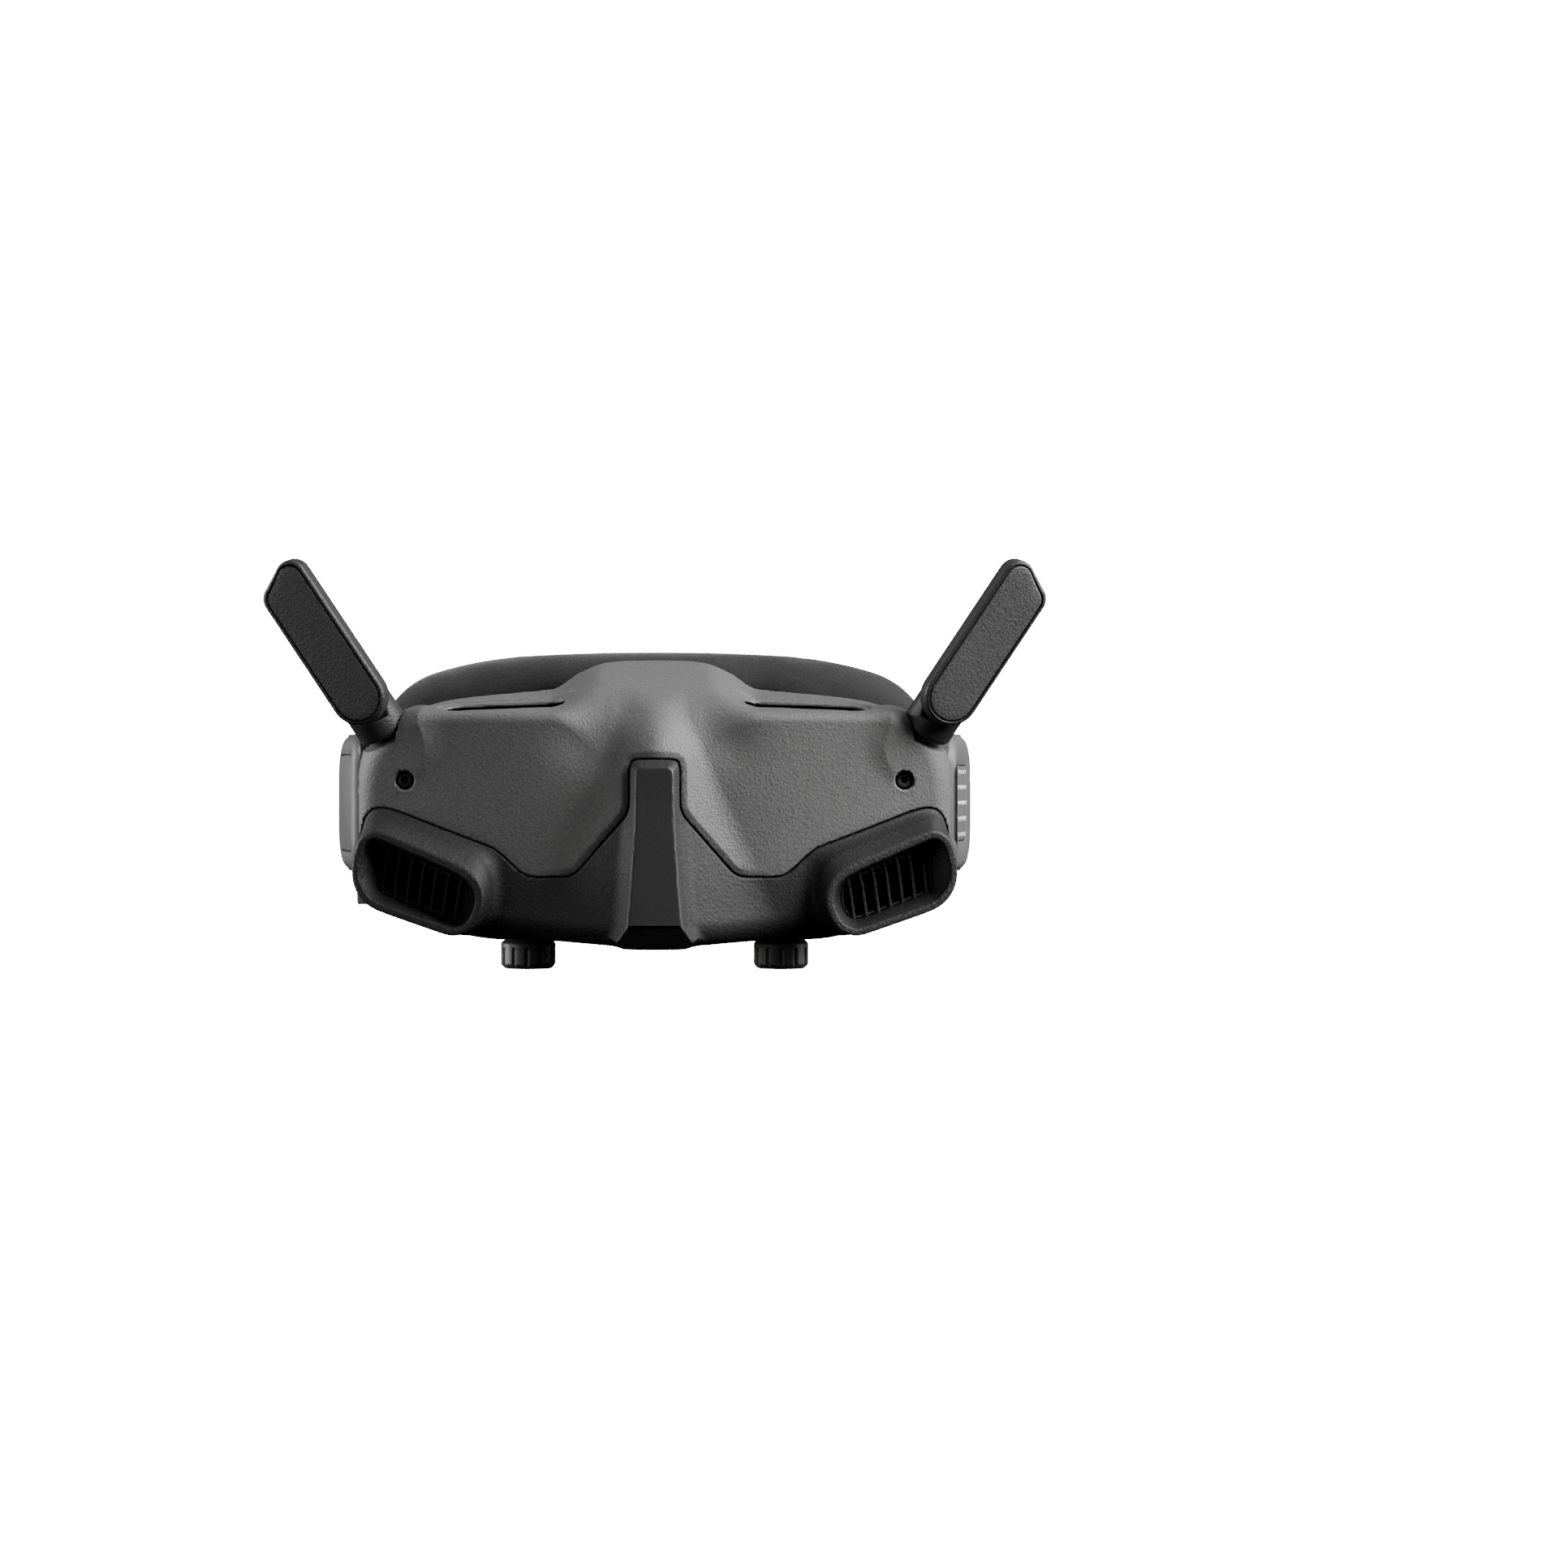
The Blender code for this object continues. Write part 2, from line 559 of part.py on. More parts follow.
def ipd_carriage(name, side, plastic):
    x = side * HALF_IPD
    carriage = finish(name, box((x - 18.5, -16, 20), (x + 18.5, -8, 61.6)), plastic, origin=(x, 0, LENS_Z))
    join(carriage, box((x - 11, -16, 60), (x + 11, -8, 66.2)))
    join(carriage, box((x - 13, -16, 12.8), (x + 13, -8, 21)))
    knob_x = side * KNOB_X
    join(carriage, box((knob_x - 8, -27, 13.0), (knob_x + 8, -12, 16.2)))
    for offset in (-19.4, 19.4):
        join(carriage, box((x + offset - 0.9, -27.9, LENS_Z - 6), (x + offset + 0.9, -12, LENS_Z + 6)))
    cut(carriage, prism_y(stadium(x, LENS_Z, BARREL_R + RUN, 0.0, 12), -17.5, -2))
    for z in (RAIL_TOP_Z, RAIL_LOW_Z):
        cut(carriage, rod((x - 30, RAIL_Y, z), (x + 30, RAIL_Y, z), RAIL_BORE_R, segments=12))
    cut(carriage, side_box(side, (33.2, 39.4), (-18, -2), (18.4, 28)))
    cut(carriage, rod((knob_x, KNOB_Y, 5), (knob_x, KNOB_Y, 18), 3.9, segments=16))


def micro_display(name, side, glass):
    x = side * HALF_IPD
    finish(name, box((x - 18.1, -27.6, LENS_Z - 13), (x + 18.1, -25.8, LENS_Z + 13)), glass)


def rack_outline(side):
    """Rack seen from above, teeth towards the pinion, with a gap where the pinion has a tooth."""
    pitch = math.pi * MODULE
    line = KNOB_X + PITCH_R
    tip = line - TOOTH_UP
    root = line + TOOTH_DOWN
    first = KNOB_Y + pitch / 2
    points = [(line + 3.4, -16.5), (line + 3.4, -27.0), (root, -27.0)]
    y = first - pitch * round((first + 26.4) / pitch)
    while y < -17.2:
        if y > -26.4:
            points += [(root, y - 0.52), (tip, y - TOOTH_TIP_HALF), (tip, y + TOOTH_TIP_HALF), (root, y + 0.52)]
        y += pitch
    points.append((root, -16.5))
    return [(side * x, y) for x, y in points]


def lens_barrel(name, side, plastic):
    x = side * HALF_IPD
    low, high = BARREL_Y
    wall = [(BARREL_BORE_R, low), (BARREL_R, low), (BARREL_R, high), (BARREL_BORE_R, high)]
    bm = turned_ring(wall, 32)
    matrix = Matrix.Translation((x, 0, LENS_Z)) @ Matrix.Rotation(-math.pi / 2, 4, "X")
    barrel = finish(name, bm, plastic, matrix, origin=(x, 0, LENS_Z))
    join(barrel, side_box(side, (36.2, 38.0), (-22.0, -16.7), (19.6, 27.1)))
    join(barrel, prism_z(rack_outline(side), *RACK_Z))


def eyepiece_lens(name, side, glass):
    """A biconvex lens just inside the barrel's rear end."""
    x = side * HALF_IPD
    profile = [(1.0, -5.6), (6.0, -5.2), (11.0, -4.0), (15.1, -2.2), (15.1, -0.6), (11.0, 1.2), (6.0, 2.4), (1.0, 2.8)]
    matrix = Matrix.Translation((x, 0, LENS_Z)) @ Matrix.Rotation(-math.pi / 2, 4, "X")
    finish(name, turned(profile, 28), glass, matrix)


def lens_ring(name, side, plastic):
    x = side * HALF_IPD
    profile = [(14.4, 4.3), (17.3, 4.3), (17.3, 5.2), (16.6, 6.0), (15.4, 6.0)]
    matrix = Matrix.Translation((x, 0, LENS_Z)) @ Matrix.Rotation(-math.pi / 2, 4, "X")
    finish(name, turned_ring(profile, 32), plastic, matrix)


# ---------------------------------------------------------------- knobs

def focus_knob(name, side, plastic):
    per_groove = 4
    count = KNOB_GROOVES * per_groove
    rings = []
    for radius, groove, z in ((5.9, 0.0, 0.0), (KNOB_R, 0.0, 1.1), (KNOB_R, 0.6, 1.2), (KNOB_R - 0.1, 0.6, 5.4),
                              (KNOB_R - 0.15, 0.0, 6.3), (5.6, 0.0, KNOB_TOP_Z)):
        ring = []
        for i in range(count):
            sunk = groove if i % per_groove == 0 else 0.0
            angle = 2 * math.pi * i / count
            ring.append(((radius - sunk) * math.cos(angle), (radius - sunk) * math.sin(angle), z))
        rings.append(ring)
    centre = (side * KNOB_X, KNOB_Y, 0)
    finish(name, loft(rings), plastic, Matrix.Translation(centre), origin=centre)


def knob_shaft(name, side, steel):
    """Shaft from the knob up to the pinion at its top, which has a tooth facing the rack's side at angle zero."""
    centre = (side * KNOB_X, KNOB_Y, 0)
    outline = []
    for i in range(TEETH):
        middle = 2 * math.pi * i / TEETH
        base = PITCH_R - TOOTH_DOWN
        top = PITCH_R + TOOTH_UP
        for radius, half in ((base, 0.5), (PITCH_R, TOOTH_HALF), (top, TOOTH_TIP_HALF), (top, -TOOTH_TIP_HALF),
                             (PITCH_R, -TOOTH_HALF), (base, -0.5)):
            angle = middle - half / radius
            outline.append((radius * math.cos(angle), radius * math.sin(angle)))
    shaft = finish(name, prism_z(outline, *PINION_Z), steel, Matrix.Translation(centre), origin=centre)
    join(shaft, rod((*centre[:2], KNOB_TOP_Z + GAP), (*centre[:2], 18.0), 1.6, segments=12))


def knob_bush(name, side, brass):
    centre = (side * KNOB_X, KNOB_Y, 0)
    wall = [(1.9, 8.2), (3.6, 8.2), (3.6, PINION_Z[0] - GAP), (1.9, PINION_Z[0] - GAP)]
    finish(name, turned_ring(wall, 16), brass, Matrix.Translation(centre), origin=centre)


# ---------------------------------------------------------------- antennas

def blade_outline(inset):
    """Width, length outline of an antenna blade: a round foot on the pivot and a slanted round tip."""
    radius = BLADE_R - inset
    points = []
    for i in range(11):
        angle = math.pi + math.pi * i / 10
        points.append((radius * math.cos(angle), radius * math.sin(angle)))
    corner = 4.2 - inset * 0.6
    slant = math.atan2(BLADE_LONG - BLADE_SHORT, 2 * BLADE_R)
    inner = BLADE_LONG - inset
    outer = BLADE_SHORT - inset
    for i in range(5):
        angle = (math.pi / 2 + slant) * i / 4
        points.append((radius - corner + corner * math.cos(angle), inner - corner - 0.6 + corner * math.sin(angle)))
    for i in range(5):
        angle = math.pi / 2 + slant + (math.pi / 2 - slant) * i / 4
        points.append((-radius + corner + corner * math.cos(angle), outer - corner + 0.9 + corner * math.sin(angle)))
    return points


def antenna_base(name, side, plastic):
    """A stub that rises behind the blade, cut away where the blade's foot turns and where the blade folds."""
    foot, top = stub_ends(side)
    length = (top - foot).length
    profile = [(STUB_R - 0.1, 0.02 * length), (STUB_R, 0.3 * length), (STUB_R - 0.2, 1.2 * length),
               (STUB_R - 2.0, 1.42 * length)]
    matrix = antenna_matrix(side)
    base = finish(name, turned(profile, 23), plastic, along(foot, top))
    cut(base, plate_uv(swept_outline(), -GAP, 9.0), matrix)
    cut(base, turned([(PIN_BORE_R, -7.0), (PIN_BORE_R, 3.0)], 12), matrix)


def swept_outline():
    """Width, length outline of all that the blade passes over, from rest to fully folded, with room round it."""
    reach = 14.0
    arc = [math.radians(180.0 + 80.0 * i / 10) for i in range(11)]
    points = [(-reach, 0.0)] + [(FOOT_ROOM_R * math.cos(angle), FOOT_ROOM_R * math.sin(angle)) for angle in arc]
    low_x, low_z = points[-1]
    return points + [(reach, low_z - FOLD_CLEAR_SLOPE * (reach - low_x)), (reach, reach), (-reach, reach)]


def antenna_blade(name, side, plastic):
    matrix = antenna_matrix(side)
    outline = blade_outline(0.0)
    soft = blade_outline(0.6)
    rings = [[(a, b, 0.0) for a, b in soft], [(a, b, 0.7) for a, b in outline],
             [(a, b, BLADE_THICK - 0.4) for a, b in outline], [(a, b, BLADE_THICK) for a, b in blade_outline(0.3)]]
    blade = finish(name, loft(rings), plastic, matrix, origin=pivot(side))
    cut(blade, plate_uv(blade_outline(1.0), 1.3, 9.0), matrix)
    cut(blade, turned([(PIN_BORE_R, -2.0), (PIN_BORE_R, 3.0)], 12), matrix)


def antenna_cover(name, side, plastic):
    outline = blade_outline(1.0 + GAP)
    finish(name, plate_uv(outline, 3.7, BLADE_THICK), plastic, antenna_matrix(side))


def antenna_board(name, side, board):
    low = [(a, max(b, 4.5)) for a, b in blade_outline(2.0)]
    seen = []
    for point in low:
        if point not in seen:
            seen.append(point)
    finish(name, plate_uv(seen, 1.8, 2.8), board, antenna_matrix(side))


def antenna_pin(name, side, steel):
    profile = [(1.6, -5.6), (1.6, 1.6), (2.6, 1.65), (2.6, 3.0)]
    finish(name, turned(profile, 12), steel, antenna_matrix(side))


def antenna_coax(name, side, rubber):
    """Coaxial lead from the antenna's base to the edge of the circuit board."""
    route = [(67.6, -23.6, 55.0), (66.0, -23.4, 53.2), (63.5, -23.9, 52.2), (60.5, -25.6, 51.7), (57.5, -27.1, 51.5),
             (54.0, -28.3, 51.5), (50.5, -29.0, 51.4), (47.5, -29.4, 51.4), (45.0, -29.5, 51.4)]
    curve = bpy.data.curves.new(name, "CURVE")
    curve.dimensions = "3D"
    curve.bevel_depth = 0.5 * MM
    curve.bevel_resolution = 2
    curve.use_fill_caps = True
    spline = curve.splines.new("POLY")
    spline.points.add(len(route) - 1)
    for point, (x, y, z) in zip(spline.points, route):
        point.co = (side * x * MM, y * MM, z * MM, 1.0)
    curve.materials.append(rubber)
    bpy.context.collection.objects.link(bpy.data.objects.new(name, curve))


# ---------------------------------------------------------------- fan, boards and sockets

FAN_Z, FAN_HALF, FAN_R, FAN_Y = 50.0, 11.9, 11.0, (-33.8, -29.2)


def fan_frame(plastic):
    low, high = FAN_Y
    frame = finish("fan_frame", box((-FAN_HALF, low, FAN_Z - FAN_HALF), (FAN_HALF, high, FAN_Z + FAN_HALF)), plastic)
    cut(frame, rod((0, low - 1, FAN_Z), (0, high - 0.9, FAN_Z), FAN_R, segments=28))
    ring = [(5.2, -2), (10.6, -2), (10.6, 3), (5.2, 3)]
    hole = tool(turned_ring(ring, 24), Matrix.Translation((0, high, FAN_Z)) @ Matrix.Rotation(math.pi / 2, 4, "X"))
    struts = tool(box((-0.8, high - 3, FAN_Z - 12), (0.8, high + 3, FAN_Z + 12)))
    combine(hole, struts, "DIFFERENCE")
    combine(frame, hole, "DIFFERENCE")


def fan_rotor(plastic):
    centre = (0, 0, FAN_Z)
    matrix = Matrix.Translation(centre) @ Matrix.Rotation(math.pi / 2, 4, "X")
    rotor = finish("fan_rotor", turned([(4.2, 30.5), (4.6, 31.0), (4.6, 33.0), (4.0, 33.5)], 14), plastic, matrix,
                   origin=centre)
    for i in range(9):
        turn = Matrix.Rotation(2 * math.pi * i / 9, 4, "Y")
        blade = box((-0.45, -33.4, 4.0), (0.45, -31.4, 10.7))
        bmesh.ops.rotate(blade, cent=(0, -32.4, 7), matrix=Matrix.Rotation(math.radians(35), 3, "Z"), verts=blade.verts)
        join(rotor, blade, Matrix.Translation(centre) @ turn)


def heat_sink(metal):
    sink = finish("heat_sink", box((-6.5, -28.8, 36), (6.5, -27.4, 64)), metal)
    for i in range(5):
        x = -6.0 + 2.75 * i
        join(sink, box((x, -28.0, 36.6), (x + 1.0, -15.0, 63.4)))


def boards(board, steel):
    for name, side in (("video_board", 1), ("radio_board", -1)):
        finish(name, side_box(side, (13.2, 44.0), (-29.9, -29.0), (29.0, 57.0)), board)
    finish("board_shield", box((15, -31.3, 33), (31, -30.2, 45)), steel)


def sockets(pale, steel):
    """Power socket low on the right, USB port and card slot under the mid frame, and the link button."""
    matrix = Matrix.Translation((-72.9, 7.5, 18.2)) @ Matrix.Rotation(-math.pi / 2, 4, "Y")
    socket = finish("power_socket", turned([(2.7, 0.3), (2.9, 0.6), (2.9, 4.6), (2.5, 4.9)], 16), pale, matrix)
    cut(socket, turned([(1.2, 3.2), (1.2, 7.0)], 10), matrix)
    finish("usb_port", box((40.0, -2.4, 9.0), (49.0, 1.4, 12.0)), steel)
    finish("card_slot", box((-52.0, -2.2, 9.6), (-41.0, 0.6, 12.0)), steel)


def link_button(plastic):
    """A round button under the mid frame that moves up by its travel."""
    profile = [(1.3, 6.7), (1.6, 7.0), (1.6, 10.6)]
    centre = (30.0, 0.0, 0.0)
    finish("link_button", turned(profile, 14), plastic, Matrix.Translation(centre), origin=centre)


# ---------------------------------------------------------------- assembly

def main():
    for old in list(bpy.data.objects):
        bpy.data.objects.remove(old, do_unlink=True)

    upper_plastic = material("upper_casing_plastic", (0.16, 0.16, 0.165), 0.55)
    lower_plastic = material("lower_casing_plastic", (0.07, 0.07, 0.073), 0.6)
    cover_plastic = material("side_cover_plastic", (0.13, 0.13, 0.135), 0.5)
    dark_plastic = material("dark_plastic", (0.03, 0.03, 0.032), 0.6)
    frame_plastic = material("frame_plastic", (0.05, 0.05, 0.052), 0.55)
    pale = material("pale_plastic", (0.6, 0.6, 0.6), 0.5)
    paint = material("dot_paint", (0.7, 0.7, 0.7), 0.4)
    fabric = material("foam_fabric", (0.08, 0.08, 0.085), 0.9)
    steel = material("steel", (0.45, 0.45, 0.46), 0.35, 1.0)
    black_steel = material("black_steel", (0.05, 0.05, 0.05), 0.4, 1.0)
    brass = material("brass", (0.7, 0.52, 0.25), 0.35, 1.0)
    metal = material("aluminium", (0.6, 0.61, 0.62), 0.4, 1.0)
    glass = material("lens_glass", (0.75, 0.8, 0.85), 0.05)
    display = material("display_glass", (0.02, 0.02, 0.025), 0.1)
    board = material("circuit_board", (0.03, 0.14, 0.06), 0.5)
    rubber = material("coax_jacket", (0.02, 0.02, 0.02), 0.6)

    front_shells(upper_plastic, lower_plastic)
    mid_frame(frame_plastic)
    face_frame(frame_plastic)
    foam_frame(dark_plastic)
    face_foam(fabric)
    inner_cover(dark_plastic)
    proximity_sensor(display)
    touch_panel(cover_plastic)
    side_dots(paint)
    ipd_rails(steel)
    fan_frame(dark_plastic)
    fan_rotor(dark_plastic)
    heat_sink(metal)
    boards(board, steel)
    sockets(pale, steel)
    link_button(dark_plastic)
    for word, side in SIDES:
        front_screw("front_screw_" + word, side, black_steel)
        intake_grille("intake_grille_" + word, side, dark_plastic)
        vent_mesh("vent_mesh_" + word, side, black_steel)
        side_cover("side_cover_" + word, side, cover_plastic)
        band_anchor("band_anchor_" + word, side, frame_plastic)
        ipd_carriage("ipd_carriage_" + word, side, dark_plastic)
        micro_display("micro_display_" + word, side, display)
        lens_barrel("lens_barrel_" + word, side, dark_plastic)
        eyepiece_lens("eyepiece_lens_" + word, side, glass)
        lens_ring("lens_ring_" + word, side, dark_plastic)
        focus_knob("focus_knob_" + word, side, lower_plastic)
        knob_shaft("knob_shaft_" + word, side, steel)
        knob_bush("knob_bush_" + word, side, brass)
        antenna_base("antenna_base_" + word, side, lower_plastic)
        antenna_blade("antenna_blade_" + word, side, lower_plastic)
        antenna_cover("antenna_cover_" + word, side, lower_plastic)
        antenna_board("antenna_board_" + word, side, board)
        antenna_pin("antenna_pin_" + word, side, steel)
        antenna_coax("antenna_coax_" + word, side, rubber)


main()
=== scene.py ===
import math

from functools import reduce

import bmesh
import bpy
import numpy as np
from mathutils import Matrix, Vector


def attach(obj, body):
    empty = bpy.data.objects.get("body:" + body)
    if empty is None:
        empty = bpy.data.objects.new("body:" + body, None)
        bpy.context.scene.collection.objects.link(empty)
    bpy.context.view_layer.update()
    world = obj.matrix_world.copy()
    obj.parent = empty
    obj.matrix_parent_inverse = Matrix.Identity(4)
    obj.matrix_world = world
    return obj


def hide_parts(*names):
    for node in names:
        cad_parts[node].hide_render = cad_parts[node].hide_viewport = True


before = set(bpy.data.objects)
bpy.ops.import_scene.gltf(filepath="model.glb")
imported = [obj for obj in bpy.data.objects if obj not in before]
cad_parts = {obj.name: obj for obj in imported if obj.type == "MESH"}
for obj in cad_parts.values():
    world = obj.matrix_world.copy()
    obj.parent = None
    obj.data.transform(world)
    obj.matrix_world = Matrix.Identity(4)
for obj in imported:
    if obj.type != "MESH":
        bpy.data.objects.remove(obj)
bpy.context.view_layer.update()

# Millimetres throughout: x to the wearer's left, y back towards the face, z up.
MM = 0.001
SIDES = (("left", 1), ("right", -1))
GAP = 0.3                      # air between pieces that touch

# Casing. Half outlines run as x, z from the top centre to the bottom centre.
WALL = 2.4
BODY_CENTRE_Z = 40.0
SHELL_REAR_Y, FACE_FRAME_Y = -4.0, 3.6
BROW_Z = 64.8
FACE_Y, FACE_CURVE, HALF_WIDTH = -38.6, 13.5, 75.0
RIDGE_HALF, RIDGE_SPREAD = 9.0, 0.45         # the nose ridge: its half width, and its growth downwards
RIDGE_RISE, RIDGE_GROWTH = 4.0, 0.125
HOLLOW_DEPTH, HOLLOW_X, HOLLOW_Z = 1.3, 17.0, 58.0
SHELF_RISE = 0.213             # slope of the shelf behind the brow
CROWN_RISE = 0.532             # slope of the middle of the top
CROWN_FRONT_Y = -40.5
BROW_EDGE_R, CROWN_EDGE_EXTRA, SIDE_EDGE_R, UNDER_EDGE_R = 2.2, 9.0, 5.5, 6.5
BODY_HALF = [(0, 78.8), (12.4, 78.6), (19.5, 75.6), (27.3, 72.4), (46.9, 69.9), (56, 68.2), (64, 64.8),
             (71, 60), (75, 53), (76.3, 44), (76.3, 32), (75.2, 23), (71.5, 16.9), (54.1, 10.3), (46.8, 8.7),
             (38.8, 7.9), (24.9, 7.5), (11.4, 6.6), (0, 6.2)]
FRAME_HALF = BODY_HALF[:14] + [(40, 8.2), (29, 9.5), (20, 16), (12, 26), (0, 30)]
FOAM_OUTER = [(0, 82.6), (16, 82.4), (32.6, 81.6), (44, 80.5), (54, 78.4), (62, 76.0), (69, 71.0),
              (74, 63.6), (77.5, 54), (79, 45), (78.5, 34), (76, 24), (70, 14.5), (58, 8), (42, 4.6),
              (30, 7), (21, 14), (12.5, 25), (0, 29)]
FOAM_INNER = [(0, 69.5), (12, 69.2), (24, 68.4), (34, 67), (43, 64.8), (51, 61.5), (57, 57.5), (61.5, 52.5),
              (64.5, 47), (65.5, 41), (65, 34), (62.5, 28), (57.5, 22.5), (50, 19), (42, 17.5), (34, 19.5),
              (21, 23.5), (10, 33), (0, 36)]
FRAME_BACK_Y, FRAME_CURVE = 9.0, 12.0
FOAM_BACK_Y, FOAM_CURVE, FOAM_END_Y, TEMPLE_X = 24.5, 27.5, 52.0, 72.0
# The line where the upper casing meets the lower one, from the top of the spine outwards
PARTING_HALF = [(4.9, 53.3), (6.3, 52.1), (6.3, 40.0), (20.4, 23.8), (31.2, 23.6), (34.1, 25.1),
                (37.4, 28.4), (40.4, 30.9), (43.7, 32.1), (54.1, 36.0), (65.3, 40.3), (68.8, 41.1),
                (71.3, 40.7), (72.9, 39.3), (73.9, 36.8), (76.0, 28.0), (84.0, 26.0), (84.0, -4.0)]
PARTING_GAP = 0.16
LIP_ACROSS, LIP_DEEP = 1.7, 0.9          # sunk lip of the upper casing along the spine
SPINE_RISE = 2.8
SPINE_TOP_Z, SPINE_BEND_Z, SPINE_LOW_Z = 51.2, 11.6, 6.2
SPINE_FOOT_SLOPE = 0.8          # how far the foot turns back for its height
SPINE_HEIGHTS = (6.0, 11.6, 20.6, 37.0, 52.0)
SPINE_HALF_WIDTHS = (6.9, 6.8, 6.0, 4.85, 4.6)      # of its face, at those heights
SPINE_FOOT_SPREAD = 0.68        # how much wider the foot gets for its height
SPINE_REAR_Y = -34.0            # the smooth face lies ahead of this
DUCT_OUTER = [(75.6, 24.0), (74.6, 36.0), (72.3, 39.6), (68.6, 40.3), (53.8, 35.0), (43.4, 31.0),
              (40.2, 27.0), (40.0, 19.0), (42.5, 12.5), (47.5, 9.4), (53.0, 9.8), (69.5, 15.6),
              (73.5, 17.4), (75.2, 20.0)]
DUCT_MOUTH = [(74.3, 25.1), (73.3, 31.3), (70.9, 33.4), (68.7, 33.0), (49.2, 24.6), (45.8, 22.1),
              (44.5, 18.8), (45.2, 15.5), (47.0, 12.1), (50.0, 10.9), (51.6, 11.1), (69.6, 17.2),
              (72.1, 19.2), (73.7, 21.7)]
# The opening that the duct narrows to, where its grille stands
DUCT_THROAT = [(70.2, 20.8), (69.8, 30.6), (68.0, 32.0), (48.6, 23.2), (46.8, 20.6), (46.9, 16.4),
               (48.8, 13.2), (51.4, 12.8), (68.8, 19.4)]
DUCT_RIM, DUCT_LIP = 2.0, 0.9   # the flat rim's width, and the depth of its straight inner edge
RIM_Y, RIM_TURN = -41.0, 0.2    # the rim's depth at x = 45, and its turn outwards
DUCT_THROAT_Y, DUCT_WALL_END_Y = -30.5, -27.4
GRILLE_FRONT_Y, GRILLE_REAR_Y = -29.9, -26.2
VANES, VANE_PITCH, VANE_LEAN = 7, 3.05, 1.6
VANE_FIRST_X = 48.9
VANE_FLOOR, VANE_ROOF = (51.0, 12.0, 0.38), (48.5, 22.9, 0.46)   # x, z and slope of the lines they span
VENT_X, VENT_Y = (24.0, 52.0), (-28.5, -21.5)
SLOT_BACK = 1.4                 # the slot reaches this much further back than its mesh
SLOT_FLOOR_Z = 50.0             # slots are cut down to here
SCOOP_GROWTH, SCOOP_DEPTH = 2.0, 0.5         # the shallow dish round a slot
SLOT_ROOF_Z, SLOT_ROOF_SLOPE = 66.5, 0.07    # the shelf is undercut below this behind the slot
SLOT_ROOF_THICK = 1.6           # what the undercut leaves
SCREW_X, SCREW_Z, SCREW_WELL_R = 63.1, 48.0, 2.4
SOCKET = Vector((-72.9, 7.5, 18.2))

# Optics and knobs
LENS_Z, HALF_IPD, IPD_TRAVEL, BARREL_R = 43.0, 32.0, 4.0, 17.5
KNOB_X, KNOB_Y, KNOB_R, KNOB_TOP_Z, KNOB_GROOVES = 32.2, -20.0, 7.0, 7.7, 12
KNOB_ROOM, KNOB_POCKET_Z, SHAFT_SLOT_R = 0.6, 10.9, 4.2
KNOB_PLATE_Z, KNOB_PLATE_HALF = 10.3, (13, 9.5, 2.1)
RAIL_Y, RAIL_HEIGHTS, RAIL_R, RAIL_END_X = -11.0, (63.4, 15.8), 1.8, 20.0
LENS_R = 15.0
ANCHOR_Z, ANCHOR_HALF = 41.0, 7.0

# Antennas
PIVOT = Vector((73.6, -29.5, 69.6))
BLADE_LEAN, BLADE_ROLL = math.radians(33.6), math.radians(17.0)
BLADE_R, BLADE_LONG, BLADE_SHORT = 7.2, 39.2, 34.8
TIP_CORNER, COVER_INSET = 4.2, 1.0
STUB_FOOT, STUB_TOP = Vector((68.3, -22.7, 60.0)), Vector((74.2, -26.6, 69.2))
STUB_LENGTH = (STUB_TOP - STUB_FOOT).length
STUB_R, BORE_R, COLLAR_R = 6.65, 6.9, 8.3
PIN_R = 1.9
COLLAR_TOP, COLLAR_HALF, COLLAR_FILLET = 0.6 * STUB_LENGTH, 6.0, 10.0
FOOT_ROOM_R = 7.5               # room for the blade's round foot
FOLD_CLEAR_ANGLE = math.radians(10.0)    # the folded blade lies this far past square to the raised one

# Side covers, in a frame of their own: u runs back, v up, w outwards
COVER_CENTRE = Vector((78.2, -4.0, 42.0))
COVER_TURN = math.radians(10.5)
COVER_HALF_U, COVER_HALF_V, COVER_CORNER, COVER_DOME = 18.0, 17.8, 8.0, 1.0
COVER_DEPTH = 4.3
DOTS, DOT_PITCH, DOTS_U = 5, 4.0, -7.0
DOT_FIELD = (9.8, 9.8, 1.5, DOTS_U)     # half sizes, corner, place along u
PANEL_HALF_U, PANEL_HALF_V, PANEL_CORNER = 14.8, 12.6, 4.8


# ---------------------------------------------------------------- outlines

def rounded(corners, cut, steps=5):
    """Closed outline whose corners are rounded, each over up to that length of the two edges beside it."""
    points = []
    for i, corner in enumerate(corners):
        here = Vector(corner)
        ends = []
        for other in (corners[i - 1], corners[(i + 1) % len(corners)]):
            arm = Vector(other) - here
            ends.append(here + arm * min(0.5, cut / arm.length))
        for k in range(steps + 1):
            t = k / steps
            points.append(tuple(ends[0] * (1 - t) ** 2 + here * (2 * t * (1 - t)) + ends[1] * t * t))
    return points


def whole_half(half, cut):
    """Closed outline for looking up at |x|: the half outline, carried past the centre line."""
    past = -30.0
    return rounded(list(half) + [(past, half[-1][1]), (past, half[0][1])], cut)


